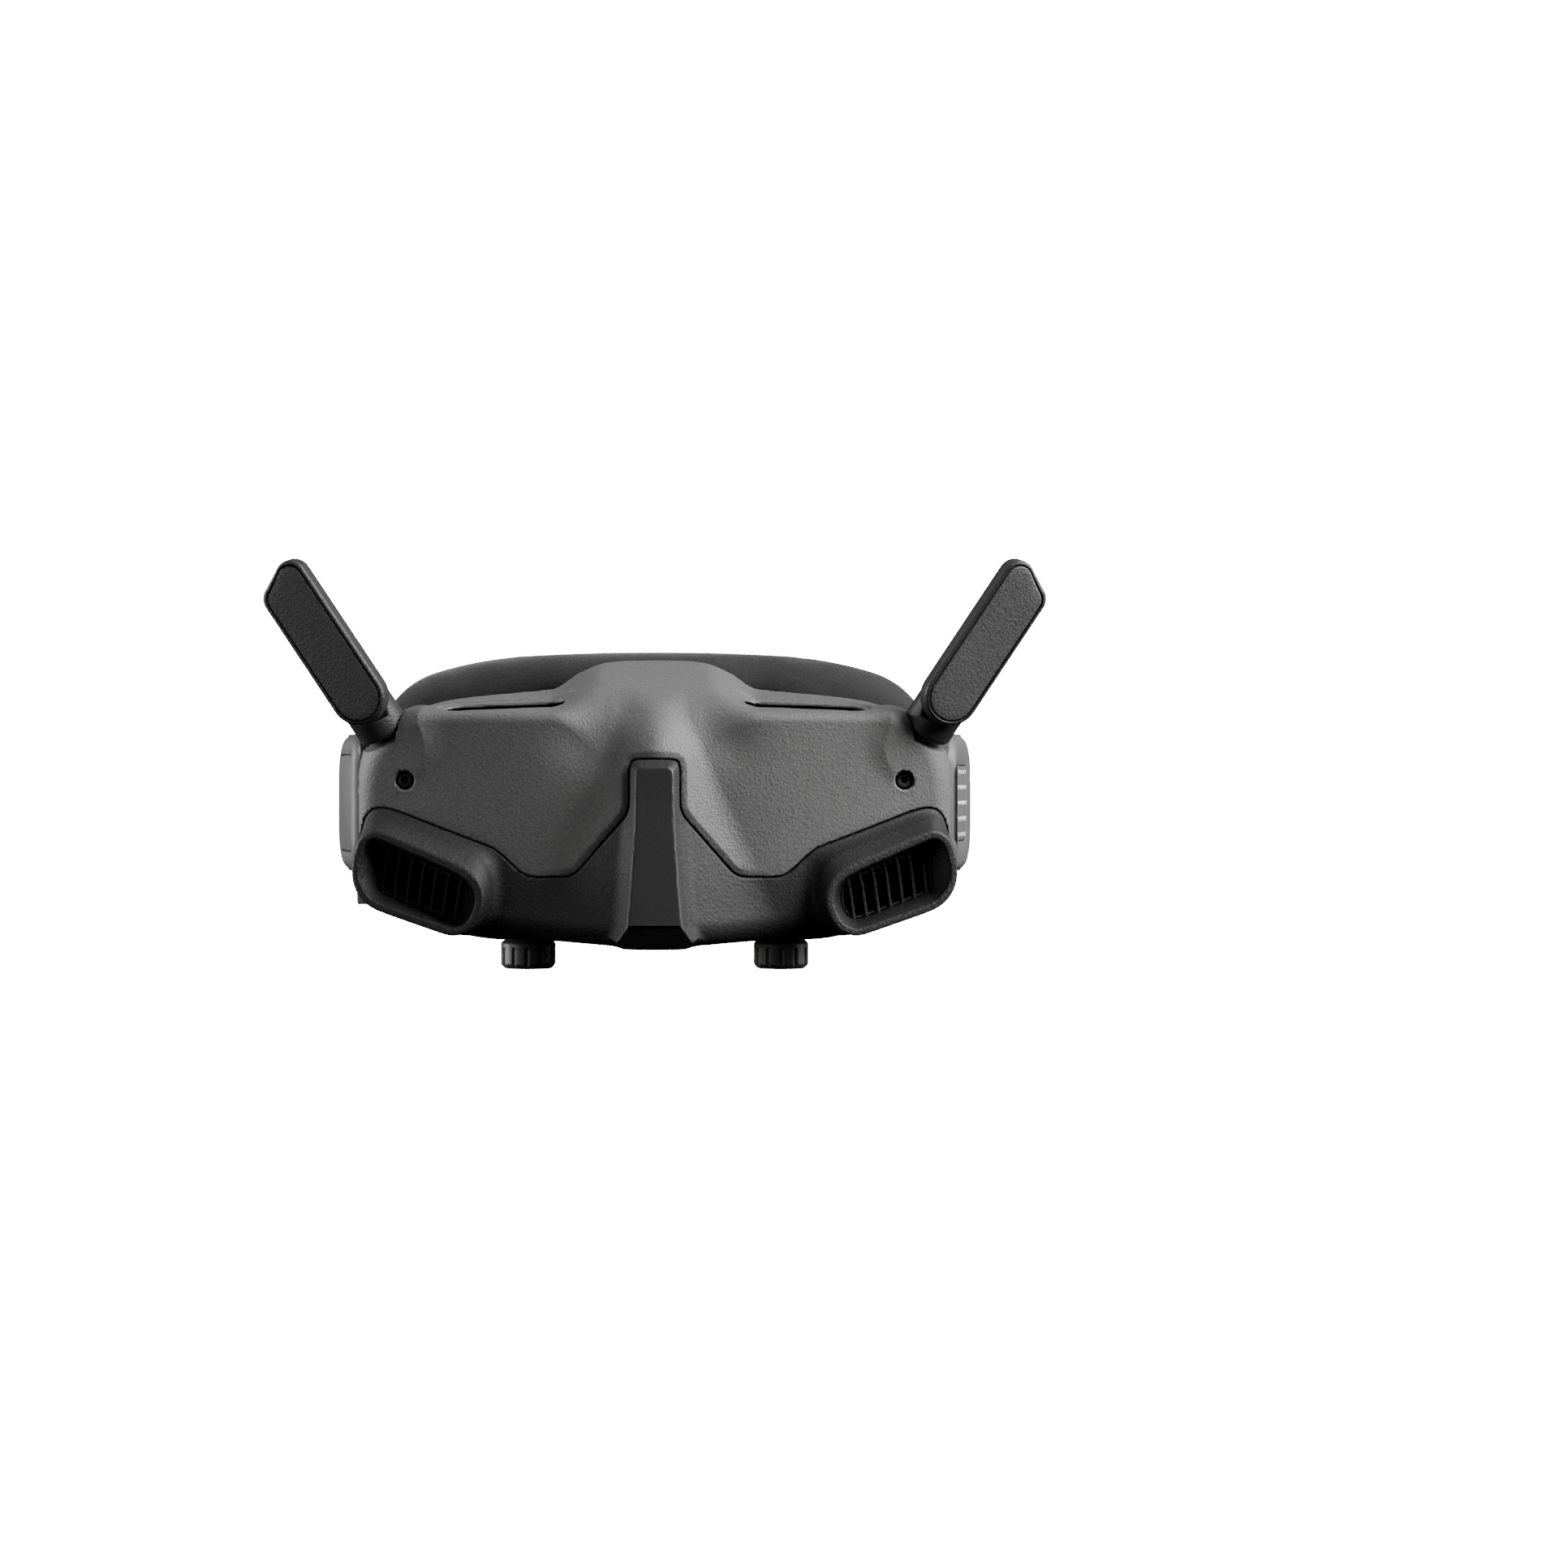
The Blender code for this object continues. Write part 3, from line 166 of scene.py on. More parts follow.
def polygon_distance(points, u, v):
    """Signed distance to a closed polygon, negative inside."""
    nearest = np.full(u.shape, 1e12)
    inside = np.zeros(u.shape, bool)
    for (au, av), (bu, bv) in zip(points, points[1:] + points[:1]):
        du, dv = bu - au, bv - av
        square = du * du + dv * dv
        if square == 0:
            continue
        t = np.clip(((u - au) * du + (v - av) * dv) / square, 0, 1)
        nearest = np.minimum(nearest, (u - au - t * du) ** 2 + (v - av - t * dv) ** 2)
        if dv != 0:
            inside ^= ((av > v) != (bv > v)) & (u < au + (v - av) / dv * du)
    return np.where(inside, -1.0, 1.0) * np.sqrt(nearest)


class Outline:
    """Signed distance to a closed outline, kept in a table so that it is quick at many points."""
    STEP = 0.4
    MARGIN = 12.0

    def __init__(self, points):
        corners = np.array(points)
        self.low = corners.min(0) - self.MARGIN
        self.size = ((corners.max(0) + self.MARGIN - self.low) / self.STEP).astype(int) + 2
        u, v = (self.low[i] + self.STEP * np.arange(self.size[i]) for i in (0, 1))
        self.table = polygon_distance(points, *np.meshgrid(u, v, indexing="ij"))

    def __call__(self, u, v):
        a, b = (u - self.low[0]) / self.STEP, (v - self.low[1]) / self.STEP
        near_a, near_b = np.clip(a, 0, self.size[0] - 1.001), np.clip(b, 0, self.size[1] - 1.001)
        i, j = near_a.astype(int), near_b.astype(int)
        s, t = near_a - i, near_b - j
        low = self.table[i, j] * (1 - s) + self.table[i + 1, j] * s
        high = self.table[i, j + 1] * (1 - s) + self.table[i + 1, j + 1] * s
        return low * (1 - t) + high * t + np.hypot(a - near_a, b - near_b) * self.STEP


SMOOTH = 60.0                   # a cut longer than any edge: the corners only guide a smooth curve
body_outline = Outline(whole_half(BODY_HALF, SMOOTH))
frame_outline = Outline(whole_half(FRAME_HALF, SMOOTH))
inner_outline = Outline(whole_half(FOAM_INNER, SMOOTH))
parting_outline = Outline(whole_half(PARTING_HALF, 2.6))
duct_outline = Outline(rounded(DUCT_OUTER, 5.0))
mouth_outline = Outline(rounded(DUCT_MOUTH, 4.0))
throat_outline = Outline(rounded(DUCT_THROAT, 2.0))


# ---------------------------------------------------------------- solids as distance fields

def smoothstep(low, high, value):
    t = np.clip((value - low) / (high - low), 0, 1)
    return t * t * (3 - 2 * t)


def overlap(*fields):
    """What several solids share, with sharp edges."""
    return reduce(np.maximum, fields)


def both(a, b, radius):
    """What two solids share, its edge rounded to that radius."""
    outside = np.hypot(np.maximum(a + radius, 0), np.maximum(b + radius, 0))
    return np.minimum(np.maximum(a, b), -radius) + outside


def without(a, b, radius):
    """The first solid less the second, its edge rounded to that radius."""
    return both(a, -b, radius)


def joined(a, b, reach):
    """Two solids together, with a soft fillet where they are within reach of each other."""
    h = np.maximum(reach - np.abs(a - b), 0) / reach
    return np.minimum(a, b) - h * h * reach * 0.25


def slot_distance(u, v, half_flat, radius):
    """Distance to a slot with round ends, long along u."""
    return np.hypot(np.maximum(np.abs(u) - half_flat, 0), v) - radius


def rectangle_distance(u, v, half_u, half_v, corner):
    a, b = np.abs(u) - half_u + corner, np.abs(v) - half_v + corner
    return np.hypot(np.maximum(a, 0), np.maximum(b, 0)) + np.minimum(np.maximum(a, b), 0) - corner


def ridge_y(x, z):
    """Front surface of the casing: a shallow curve, with a nose ridge that widens downwards."""
    drop = BROW_Z - np.minimum(z, BROW_Z)
    t = np.minimum(np.abs(x) / (RIDGE_HALF + RIDGE_SPREAD * drop), 1.0)
    ridge = (RIDGE_RISE + RIDGE_GROWTH * drop) * (1.0 - t * t * (3.0 - 2.0 * t))
    return FACE_Y + FACE_CURVE * (x / HALF_WIDTH) ** 2 - ridge


def face_front_y(x, z):
    """The front surface with the hollows on both sides of the ridge, under the brow."""
    hollow = HOLLOW_DEPTH * np.exp(-((x - HOLLOW_X) / 8.0) ** 2 - ((z - HOLLOW_Z) / 7.0) ** 2)
    return ridge_y(x, z) + hollow


def casing_above(x, y, z):
    """The casing's outline, lowered to the slope of its top, for x from the centre outwards."""
    shelf = smoothstep(13.0, 27.0, x)
    rise = CROWN_RISE + (SHELF_RISE - CROWN_RISE) * shelf
    start = CROWN_FRONT_Y + (ridge_y(x, BROW_Z) - CROWN_FRONT_Y) * shelf
    top = (z - BROW_Z - rise * (y - start)) / np.sqrt(1 + rise * rise)
    return both(body_outline(x, z), top, 3.0)


def casing(x, y, z):
    """The casing's outer form, for x from the centre outwards."""
    above = casing_above(x, y, z)
    front = (face_front_y(x, z) - y) * 0.97
    brow_edge = BROW_EDGE_R + CROWN_EDGE_EXTRA * (1 - smoothstep(12.0, 26.0, x))
    side = smoothstep(56.0, 70.0, x)
    edge = brow_edge * (1 - side) + SIDE_EDGE_R * side
    edge = UNDER_EDGE_R + (edge - UNDER_EDGE_R) * smoothstep(14.0, 30.0, z)
    return both(above, front, edge)


def antenna_matrix(side):
    """Width, length and thickness of an antenna blade to x, y, z, with its pivot at the origin."""
    flat_in = Vector((-side * math.cos(BLADE_LEAN), 0, math.sin(BLADE_LEAN)))
    long = Vector((side * math.sin(BLADE_LEAN), 0, math.cos(BLADE_LEAN)))
    ahead = Vector((0, -1, 0))
    inward = flat_in * math.cos(BLADE_ROLL) + ahead * math.sin(BLADE_ROLL)
    normal = ahead * math.cos(BLADE_ROLL) - flat_in * math.sin(BLADE_ROLL)
    matrix = Matrix((inward, long, normal)).transposed().to_4x4()
    matrix.translation = Vector((side * PIVOT.x, PIVOT.y, PIVOT.z))
    return matrix


def axis_coordinates(x, y, z, foot, top):
    """How far along an axis each point is, and how far from it."""
    axis = (top - foot).normalized()
    dx, dy, dz = x - foot.x, y - foot.y, z - foot.z
    along = dx * axis.x + dy * axis.y + dz * axis.z
    square = dx * dx + dy * dy + dz * dz
    return along, np.sqrt(np.maximum(square - along * along, 0))


def cover_space(x, y, z):
    """Where points are in the left side cover's own frame."""
    dx, dy = x - COVER_CENTRE.x, y - COVER_CENTRE.y
    u = dx * math.sin(COVER_TURN) + dy * math.cos(COVER_TURN)
    w = dx * math.cos(COVER_TURN) - dy * math.sin(COVER_TURN)
    return u, z - COVER_CENTRE.z, w


def cover_pocket(x, y, z):
    u, v, w = cover_space(x, y, z)
    around = rectangle_distance(u, v, COVER_HALF_U + GAP, COVER_HALF_V + GAP, COVER_CORNER)
    return np.maximum(around, -COVER_DEPTH - w)


def slotted(shell, body, x, y, z):
    """The shell with its outlet slot: a shallow dish, the slot itself and the undercut behind it."""
    u, v = x - sum(VENT_X) / 2, y - sum(VENT_Y) / 2
    slot_r = (VENT_Y[1] - VENT_Y[0]) / 2
    half_flat = (VENT_X[1] - VENT_X[0]) / 2 - slot_r
    under = SLOT_FLOOR_Z - z
    dish = slot_distance(u + 0.4, v - SCOOP_GROWTH, half_flat + 1.2, slot_r + SCOOP_GROWTH)
    shell = without(shell, overlap(dish, -(body + SCOOP_DEPTH), under), 0.8)
    slot = slot_distance(u, v - SLOT_BACK, half_flat, slot_r + SLOT_BACK)
    shell = without(shell, overlap(slot, under), 0.35)
    behind = slot_distance(u, v - 5.0, half_flat, slot_r + 2.0)
    roof = z - SLOT_ROOF_Z - SLOT_ROOF_SLOPE * (VENT_X[1] - x)
    return without(shell, overlap(behind, roof, body + SLOT_ROOF_THICK, under), 0.2)


def upper_shell(x, y, z):
    """Upper casing with its collars, slots, screw wells and the sunk lip along the spine."""
    x = np.abs(x)
    body = casing(x, y, z)
    along, radial = axis_coordinates(x, y, z, STUB_FOOT, STUB_TOP)
    collar = both(radial - COLLAR_R, np.abs(along - COLLAR_TOP + COLLAR_HALF) - COLLAR_HALF, 0.9)
    collar = without(collar, blade_room(*blade_space(x, y, z)), 0.3)
    shell = np.maximum(joined(body, collar, COLLAR_FILLET), -(body + WALL))
    shell = without(shell, np.maximum(radial - BORE_R, -along - 1.0), 0.2)
    shell = slotted(shell, body, x, y, z)
    shell = without(shell, np.hypot(x - SCREW_X, z - SCREW_Z) - SCREW_WELL_R, 0.5)
    shell = without(shell, cover_pocket(x, y, z), 0.35)
    apart = PARTING_GAP - parting_outline(x, z)
    deep = 0.1 + (LIP_DEEP - 0.1) * (1 - smoothstep(20.0, 28.0, x))
    lip = (body * LIP_ACROSS + apart * deep + LIP_ACROSS * deep) / np.hypot(LIP_ACROSS, deep)
    shell = both(np.maximum(shell, lip), apart, 0.3)
    return np.maximum(shell, y - SHELL_REAR_Y)


def duct_rim_y(x):
    """The rim's depth: it turns outwards a little."""
    return RIM_Y + RIM_TURN * (x - 45.0)


def duct_inside(x, y, z):
    """The room inside a duct: the mouth, narrowing to the throat."""
    rim_y = duct_rim_y(x)
    t = np.clip((y - rim_y - DUCT_LIP) / (DUCT_THROAT_Y - rim_y - DUCT_LIP), 0, 1)
    return mouth_outline(x, z) * (1 - t) + throat_outline(x, z) * t


def duct(x, y, z):
    """The raised intake that grows from the casing to its flat rim."""
    wall_y = ridge_y(x, z) - 0.3
    rim_y = duct_rim_y(x)
    t = np.clip((wall_y - y) / np.maximum(wall_y - rim_y, 1.0), 0, 1)
    t = np.interp(t, (0.0, 0.5, 1.0), (0.0, 0.4, 1.0))
    around = duct_outline(x, z) * (1 - t) + (mouth_outline(x, z) - DUCT_RIM) * t
    return both(around * 0.85, rim_y - y, 0.5)


def spine_half_width(z):
    foot = np.maximum(SPINE_BEND_Z - z, 0)
    return np.interp(z, SPINE_HEIGHTS, SPINE_HALF_WIDTHS) + SPINE_FOOT_SPREAD * foot


def spine(x, y, z):
    """The smooth raised face down the middle: flat, with sloping flanks and a turned-back foot."""
    foot = np.maximum(SPINE_BEND_Z - z, 0)
    depth = y - (ridge_y(0 * x, z) - SPINE_RISE + SPINE_FOOT_SLOPE * foot)
    flank = (x - spine_half_width(z) - 0.5 * np.minimum(depth, 4.0)) * 0.89
    cap = (z - SPINE_TOP_Z - 0.6 * depth) * 0.86
    flank = np.maximum(flank, (x - 7.6 - 1.3 * (z - SPINE_LOW_Z)) * 0.6)
    solid = both(both(flank, cap, 1.6), -depth, 0.3)
    return overlap(solid, SPINE_LOW_Z - z, depth - 12.0)


def lower_shell(x, y, z):
    """Lower casing with its ducts, spine and knob pockets."""
    x = np.abs(x)
    body = casing(x, y, z)
    solid = joined(body, duct(x, y, z), 2.6)
    solid = joined(solid, spine(x, y, z), 2.2)
    shell = np.maximum(solid, -(body + WALL))
    lining = overlap(mouth_outline(x, z) - 1.7, y - DUCT_WALL_END_Y, duct_rim_y(x) + 1.0 - y)
    shell = np.minimum(shell, lining)
    shell = without(shell, duct_inside(x, y, z), 0.4)
    u, v, w = x - KNOB_X, y - KNOB_Y, z - KNOB_PLATE_Z
    plate = [np.abs(place) - half for place, half in zip((u, v, w), KNOB_PLATE_HALF)]
    shell = np.minimum(shell, overlap(*plate, body))
    pocket = overlap(slot_distance(u, v, IPD_TRAVEL, KNOB_R + KNOB_ROOM), z - KNOB_POCKET_Z)
    shell = without(shell, pocket, 0.5)
    shell = without(shell, slot_distance(u, v, IPD_TRAVEL, SHAFT_SLOT_R), 0.3)
    shell = without(shell, cover_pocket(x, y, z), 0.35)
    shell = both(shell, parting_outline(x, z) + PARTING_GAP, 0.3)
    return np.maximum(shell, y - SHELL_REAR_Y)


def mid_frame(x, y, z):
    """Plate behind the shells, with the post that holds the rails and the windows for the barrels."""
    x = np.abs(x)
    plate = both(casing_above(x, SHELL_REAR_Y, z + 0.2), np.abs(y + 0.2) - 3.5, 0.4)
    post = overlap(x - 4.0, np.abs(y + 7.2) - 6.3, np.abs(z - 39.4) - 26.6)
    solid = np.minimum(plate, post)
    for rail_z in RAIL_HEIGHTS:
        rail = overlap(np.hypot(y - RAIL_Y, z - rail_z) - RAIL_R, x - RAIL_END_X)
        solid = np.maximum(solid, -rail)
    solid = without(solid, slot_distance(x - HALF_IPD, z - LENS_Z, IPD_TRAVEL, BARREL_R + 0.5), 0.4)
    return without(solid, cover_pocket(x, y, z), 0.3)


def frame_back_y(x):
    """How far back the frames reach: further at the temples."""
    return FRAME_BACK_Y + FRAME_CURVE * (np.abs(x) / HALF_WIDTH) ** 2.2


def face_frame(x, y, z):
    """Ring between the mid frame and the cushion, narrowing a little to the back."""
    x = np.abs(x)
    back = frame_back_y(x) - 2.1
    scale = 0.995 - 0.025 * np.clip((y - FACE_FRAME_Y) / (back - FACE_FRAME_Y), 0, 1)
    outer = frame_outline(x / scale, BODY_CENTRE_Z + (z - BODY_CENTRE_Z) / scale) * scale
    outer = np.maximum(outer, casing_above(x, SHELL_REAR_Y, z + 0.6))
    solid = both(outer, np.maximum(FACE_FRAME_Y - y, (y - back) * 0.9), 0.5)
    solid = both(solid, -inner_outline(x, z), 0.3)
    return without(solid, cover_pocket(x, y, z), 0.3)


def blade_room(a, b, n):
    """The room that the blade's foot turns in and that the blade needs when it folds."""
    foot = np.hypot(a, b) - FOOT_ROOM_R
    folded = -(b * math.cos(FOLD_CLEAR_ANGLE) + a * math.sin(FOLD_CLEAR_ANGLE)) - FOOT_ROOM_R
    kept = np.maximum(a + 1.3, b)
    swept = np.minimum(np.minimum(foot, np.maximum(folded, -kept)), -b)
    return np.maximum(swept, -GAP - n)


def blade_space(x, y, z):
    """Where points are in the left antenna's own frame."""
    rows = antenna_matrix(1).inverted()
    return [row[0] * x + row[1] * y + row[2] * z + row[3] for row in rows[:3]]


def antenna_base(a, b, n):
    """The stub behind the blade, hollowed where the blade's foot turns and where the blade folds."""
    inverse = antenna_matrix(1).inverted()
    along, radial = axis_coordinates(a, b, n, inverse @ STUB_FOOT, inverse @ STUB_TOP)
    base = both(radial - STUB_R, np.abs(along - 0.75 * STUB_LENGTH) - 0.72 * STUB_LENGTH, 1.6)
    base = without(base, blade_room(a, b, n), 0.35)
    return np.maximum(base, np.minimum(PIN_R - np.hypot(a, b), n + 7.0))


def focus_knob(x, y, z):
    """One knob about its own axis: chamfered, with grooves that run out at the bottom."""
    around = np.hypot(x, y)
    body = both(around - KNOB_R, np.abs(z - KNOB_TOP_Z / 2) - KNOB_TOP_Z / 2, 0.25)
    for chamfer, end in ((1.2, z - KNOB_TOP_Z), (1.1, -z)):
        body = both(body, (around - KNOB_R + end + chamfer) * 0.7071, 0.25)
    pitch = 2 * math.pi / KNOB_GROOVES
    angle = np.mod(np.arctan2(y, x) + pitch / 2, pitch) - pitch / 2
    away = np.hypot(around * np.cos(angle) - KNOB_R - 0.1, around * np.sin(angle))
    groove = np.hypot(away, np.maximum(z - 4.9, 0)) - 0.55
    dish = np.maximum(around - 4.6, z - 0.5)
    return without(without(body, groove, 0.15), dish, 0.25)


def band_anchor(x, y, z):
    """Lug with a slot for the headband's buckle."""
    v = z - ANCHOR_Z
    plate = both(rectangle_distance(y - 27.5, v, 8.5, ANCHOR_HALF, 3.0), np.abs(x - 81.85) - 1.45, 0.8)
    block = both(rectangle_distance(x - 79.15, v, 4.15, ANCHOR_HALF, 1.2), np.abs(y - 16.95) - 2.05, 0.6)
    slot = rectangle_distance(y - 28.75, v, 2.75, 4.5, 2.0)
    return without(joined(plate, block, 1.5), slot, 0.6)


# ---------------------------------------------------------------- fields to meshes

COARSE = 4                      # grid cells to a side of a block that is kept or dropped as a whole


def sample(field, low, counts, step, symmetric):
    """Values of a field on a grid. Blocks far from the surface keep one value, so they cost little."""
    blocks = [int(math.ceil(c / COARSE)) for c in counts]
    values = np.empty([n * COARSE for n in blocks], np.float32)
    size = COARSE * step
    centres = [low[i] + size * (np.arange(blocks[i]) + 0.5) - step / 2 for i in range(3)]
    grid = np.stack(np.meshgrid(*centres, indexing="ij"), -1).reshape(-1, 3)
    middle = field(*grid.T)
    reach = size * 1.35
    flat = np.repeat(np.repeat(np.repeat(middle.reshape(blocks), COARSE, 0), COARSE, 1), COARSE, 2)
    values[:] = flat
    near = np.argwhere(np.abs(middle.reshape(blocks)) < reach)
    if symmetric:
        near = near[near[:, 0] >= blocks[0] // 2]
    offsets = np.stack(np.meshgrid(*[np.arange(COARSE)] * 3, indexing="ij"), -1).reshape(-1, 3)
    cells = (near[:, None, :] * COARSE + offsets[None]).reshape(-1, 3)
    points = np.array(low) + cells * step
    values[tuple(cells.T)] = field(*points.T)
    if symmetric:
        values[:values.shape[0] // 2] = values[values.shape[0] // 2:][::-1]
    return values


def surface_net(values, low, step):
    """One vertex in each grid cell that the surface passes, and one quad for each edge it crosses."""
    inside = values < 0
    n = np.array(values.shape) - 1
    corners = np.stack(np.meshgrid((0, 1), (0, 1), (0, 1), indexing="ij"), -1).reshape(-1, 3)
    count = sum(inside[a:a + n[0], b:b + n[1], c:c + n[2]].astype(np.int8) for a, b, c in corners)
    mixed = (count > 0) & (count < 8)
    cells = np.argwhere(mixed)
    index = np.full(mixed.shape, -1, np.int32)
    index[mixed] = np.arange(len(cells))
    total = np.zeros((len(cells), 3))
    crossings = np.zeros(len(cells))
    for start in corners:
        for axis in range(3):
            if start[axis]:
                continue
            end = start.copy()
            end[axis] = 1
            a = values[tuple((cells + start).T)]
            b = values[tuple((cells + end).T)]
            cut = (a < 0) != (b < 0)
            t = np.where(cut, a / np.where(cut, a - b, 1), 0)
            total += cut[:, None] * (start + t[:, None] * (end - start))
            crossings += cut
    vertices = np.array(low) + (cells + total / crossings[:, None]) * step
    quads = []
    for axis in range(3):
        u, v = (axis + 1) % 3, (axis + 2) % 3
        before = [slice(1, -1)] * 3
        after = [slice(1, -1)] * 3
        before[axis], after[axis] = slice(0, -1), slice(1, None)
        here, there = inside[tuple(before)], inside[tuple(after)]
        for rising in (True, False):
            spots = np.argwhere((here & ~there) if rising else (~here & there))
            spots += [0 if i == axis else 1 for i in range(3)]
            shift_u, shift_v = np.eye(3, dtype=int)[u], np.eye(3, dtype=int)[v]
            ring = [spots, spots - shift_u, spots - shift_u - shift_v, spots - shift_v]
            quad = np.stack([index[tuple(p.T)] for p in ring], 1)
            quads.append(quad if rising else quad[:, ::-1])
    return vertices, np.concatenate(quads)


def gradient(field, points, reach):
    slopes = []
    for axis in range(3):
        step = np.zeros(3)
        step[axis] = reach
        slopes.append(field(*(points + step).T) - field(*(points - step).T))
    return np.stack(slopes, 1) / (2 * reach)


def carve(name, field, low, high, step, matrix=None, symmetric=False):
    """Make an object from a distance field inside a box."""
    low, high = np.array(low, float), np.array(high, float)
    counts = np.ceil((high - low) / step).astype(int) + 1
    if symmetric:
        half = COARSE * int(math.ceil(counts[0] / COARSE / 2))
        counts[0] = 2 * half
        low[0] = -(half - 0.5) * step
    values = sample(field, low, counts, step, symmetric)
    vertices, quads = surface_net(values, low, step)
    for _ in range(3):
        slope = gradient(field, vertices, 0.05)
        steepness = np.maximum((slope * slope).sum(1), 0.05)
        move = -(field(*vertices.T) / steepness)[:, None] * slope
        length = np.maximum(np.linalg.norm(move, axis=1), 1e-9)
        vertices = vertices + move * np.minimum(1, 0.4 * step / length)[:, None]
    normals = gradient(field, vertices, 0.3 * step)
    normals /= np.maximum(np.linalg.norm(normals, axis=1), 1e-9)[:, None]
    turn = np.array((matrix or Matrix.Identity(4)), float)
    vertices = vertices @ turn[:3, :3].T + turn[:3, 3]
    normals = normals @ turn[:3, :3].T
    if np.linalg.det(turn[:3, :3]) < 0:
        quads = quads[:, ::-1]
    mesh = bpy.data.meshes.new(name)
    mesh.vertices.add(len(vertices))
    mesh.vertices.foreach_set("co", (vertices * MM).ravel())
    mesh.loops.add(4 * len(quads))
    mesh.loops.foreach_set("vertex_index", quads.ravel())
    mesh.polygons.add(len(quads))
    mesh.polygons.foreach_set("loop_start", 4 * np.arange(len(quads)))
    mesh.update(calc_edges=True)
    mesh.shade_smooth()
    mesh.normals_split_custom_set_from_vertices([tuple(v) for v in normals])
    return linked(name, mesh)


def linked(name, mesh):
    obj = bpy.data.objects.new(name, mesh)
    bpy.context.scene.collection.objects.link(obj)
    return obj


def from_bmesh(name, bm, matrix=None, sharp=35):
    """Turn a mesh made in millimetres into an object."""
    if matrix is not None:
        bmesh.ops.transform(bm, matrix=matrix, verts=bm.verts)
    bmesh.ops.scale(bm, vec=(MM, MM, MM), verts=bm.verts)
    bmesh.ops.recalc_face_normals(bm, faces=bm.faces)
    mesh = bpy.data.meshes.new(name)
    bm.to_mesh(mesh)
    bm.free()
    mesh.shade_smooth()
    mesh.set_sharp_from_angle(angle=math.radians(sharp))
    return linked(name, mesh)


def loft(rings, closed=False, bm=None):
    """Skin rings that have the same number of points; the ends are capped, or joined when closed."""
    bm = bm or bmesh.new()
    rows = [[bm.verts.new(point) for point in ring] for ring in rings]
    count = len(rings[0])
    pairs = list(zip(rows, rows[1:]))
    if closed:
        pairs.append((rows[-1], rows[0]))
    for low, high in pairs:
        for i in range(count):
            bm.faces.new((low[i], low[(i + 1) % count], high[(i + 1) % count], high[i]))
    if not closed:
        bm.faces.new(rows[0])
        bm.faces.new(rows[-1][::-1])
    return bm


def turned(profile, segments=72, closed=False):
    """Solid of revolution about Z from r, z pairs."""
    rings = []
    for radius, z in profile:
        angles = [2 * math.pi * i / segments for i in range(segments)]
        rings.append([(radius * math.cos(a), radius * math.sin(a), z) for a in angles])
    return loft(rings, closed)


def show(obj, finish, body, slot, *nodes):
    """Give a piece its finish, its body and the CAD nodes that it stands for; the slot argument is not used.
    """
    obj.data.materials.clear()
    obj.data.materials.append(MATERIALS[finish])
    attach(obj, body)
    if nodes:
        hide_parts(*nodes)


# ---------------------------------------------------------------- materials

def new_material(name, colour, roughness, metallic=0.0):
    made = bpy.data.materials.new(name)
    made.use_nodes = True
    shader = made.node_tree.nodes["Principled BSDF"]
    shader.inputs["Base Color"].default_value = (*colour, 1.0)
    shader.inputs["Roughness"].default_value = roughness
    shader.inputs["Metallic"].default_value = metallic
    return made, shader


def node(material, kind, links=(), **values):
    """Add a node, set its inputs by name, and link (output, input) pairs into it."""
    made = material.node_tree.nodes.new(kind)
    for key, value in values.items():
        if key in made.inputs:
            made.inputs[key].default_value = value
        else:
            setattr(made, key, value)
    for output, name in links:
        material.node_tree.links.new(output, made.inputs[name])
    return made


def grey(value):
    return (value, value, value)


def noise(material, place, size, detail=2.0, rough=0.5):
    """Noise whose blobs are about that many millimetres across."""
    made = node(material, "ShaderNodeTexNoise", [(place, "Vector")])
    made.inputs["Scale"].default_value = 1.0 / (size * MM)
    made.inputs["Detail"].default_value = detail
    made.inputs["Roughness"].default_value = rough
    return made.outputs["Fac"]


def spread(material, value, low, high, start=0.3, end=0.7):
    made = node(material, "ShaderNodeMapRange", [(value, "Value")])
    for name, number in (("From Min", start), ("From Max", end), ("To Min", low), ("To Max", high)):
        made.inputs[name].default_value = number
    return made.outputs["Result"]


def shaded(material, shader, colour, factor, low, high):
    """Base colour that runs from a darker to a lighter shade of one colour by a factor."""
    mix = material.node_tree.nodes.new("ShaderNodeMix")
    mix.data_type = "RGBA"
    mix.inputs["A"].default_value = (*[c * low for c in colour], 1.0)
    mix.inputs["B"].default_value = (*[min(c * high, 1.0) for c in colour], 1.0)
    material.node_tree.links.new(factor, mix.inputs["Factor"])
    material.node_tree.links.new(mix.outputs["Result"], shader.inputs["Base Color"])


def glossed(material, shader, factor, low, high):
    """Roughness that runs between two values by a factor."""
    material.node_tree.links.new(spread(material, factor, low, high), shader.inputs["Roughness"])


def raised(material, shader, height, strength, distance):
    made = node(material, "ShaderNodeBump", [(height, "Height")])
    made.inputs["Strength"].default_value = strength
    made.inputs["Distance"].default_value = distance * MM
    material.node_tree.links.new(made.outputs["Normal"], shader.inputs["Normal"])


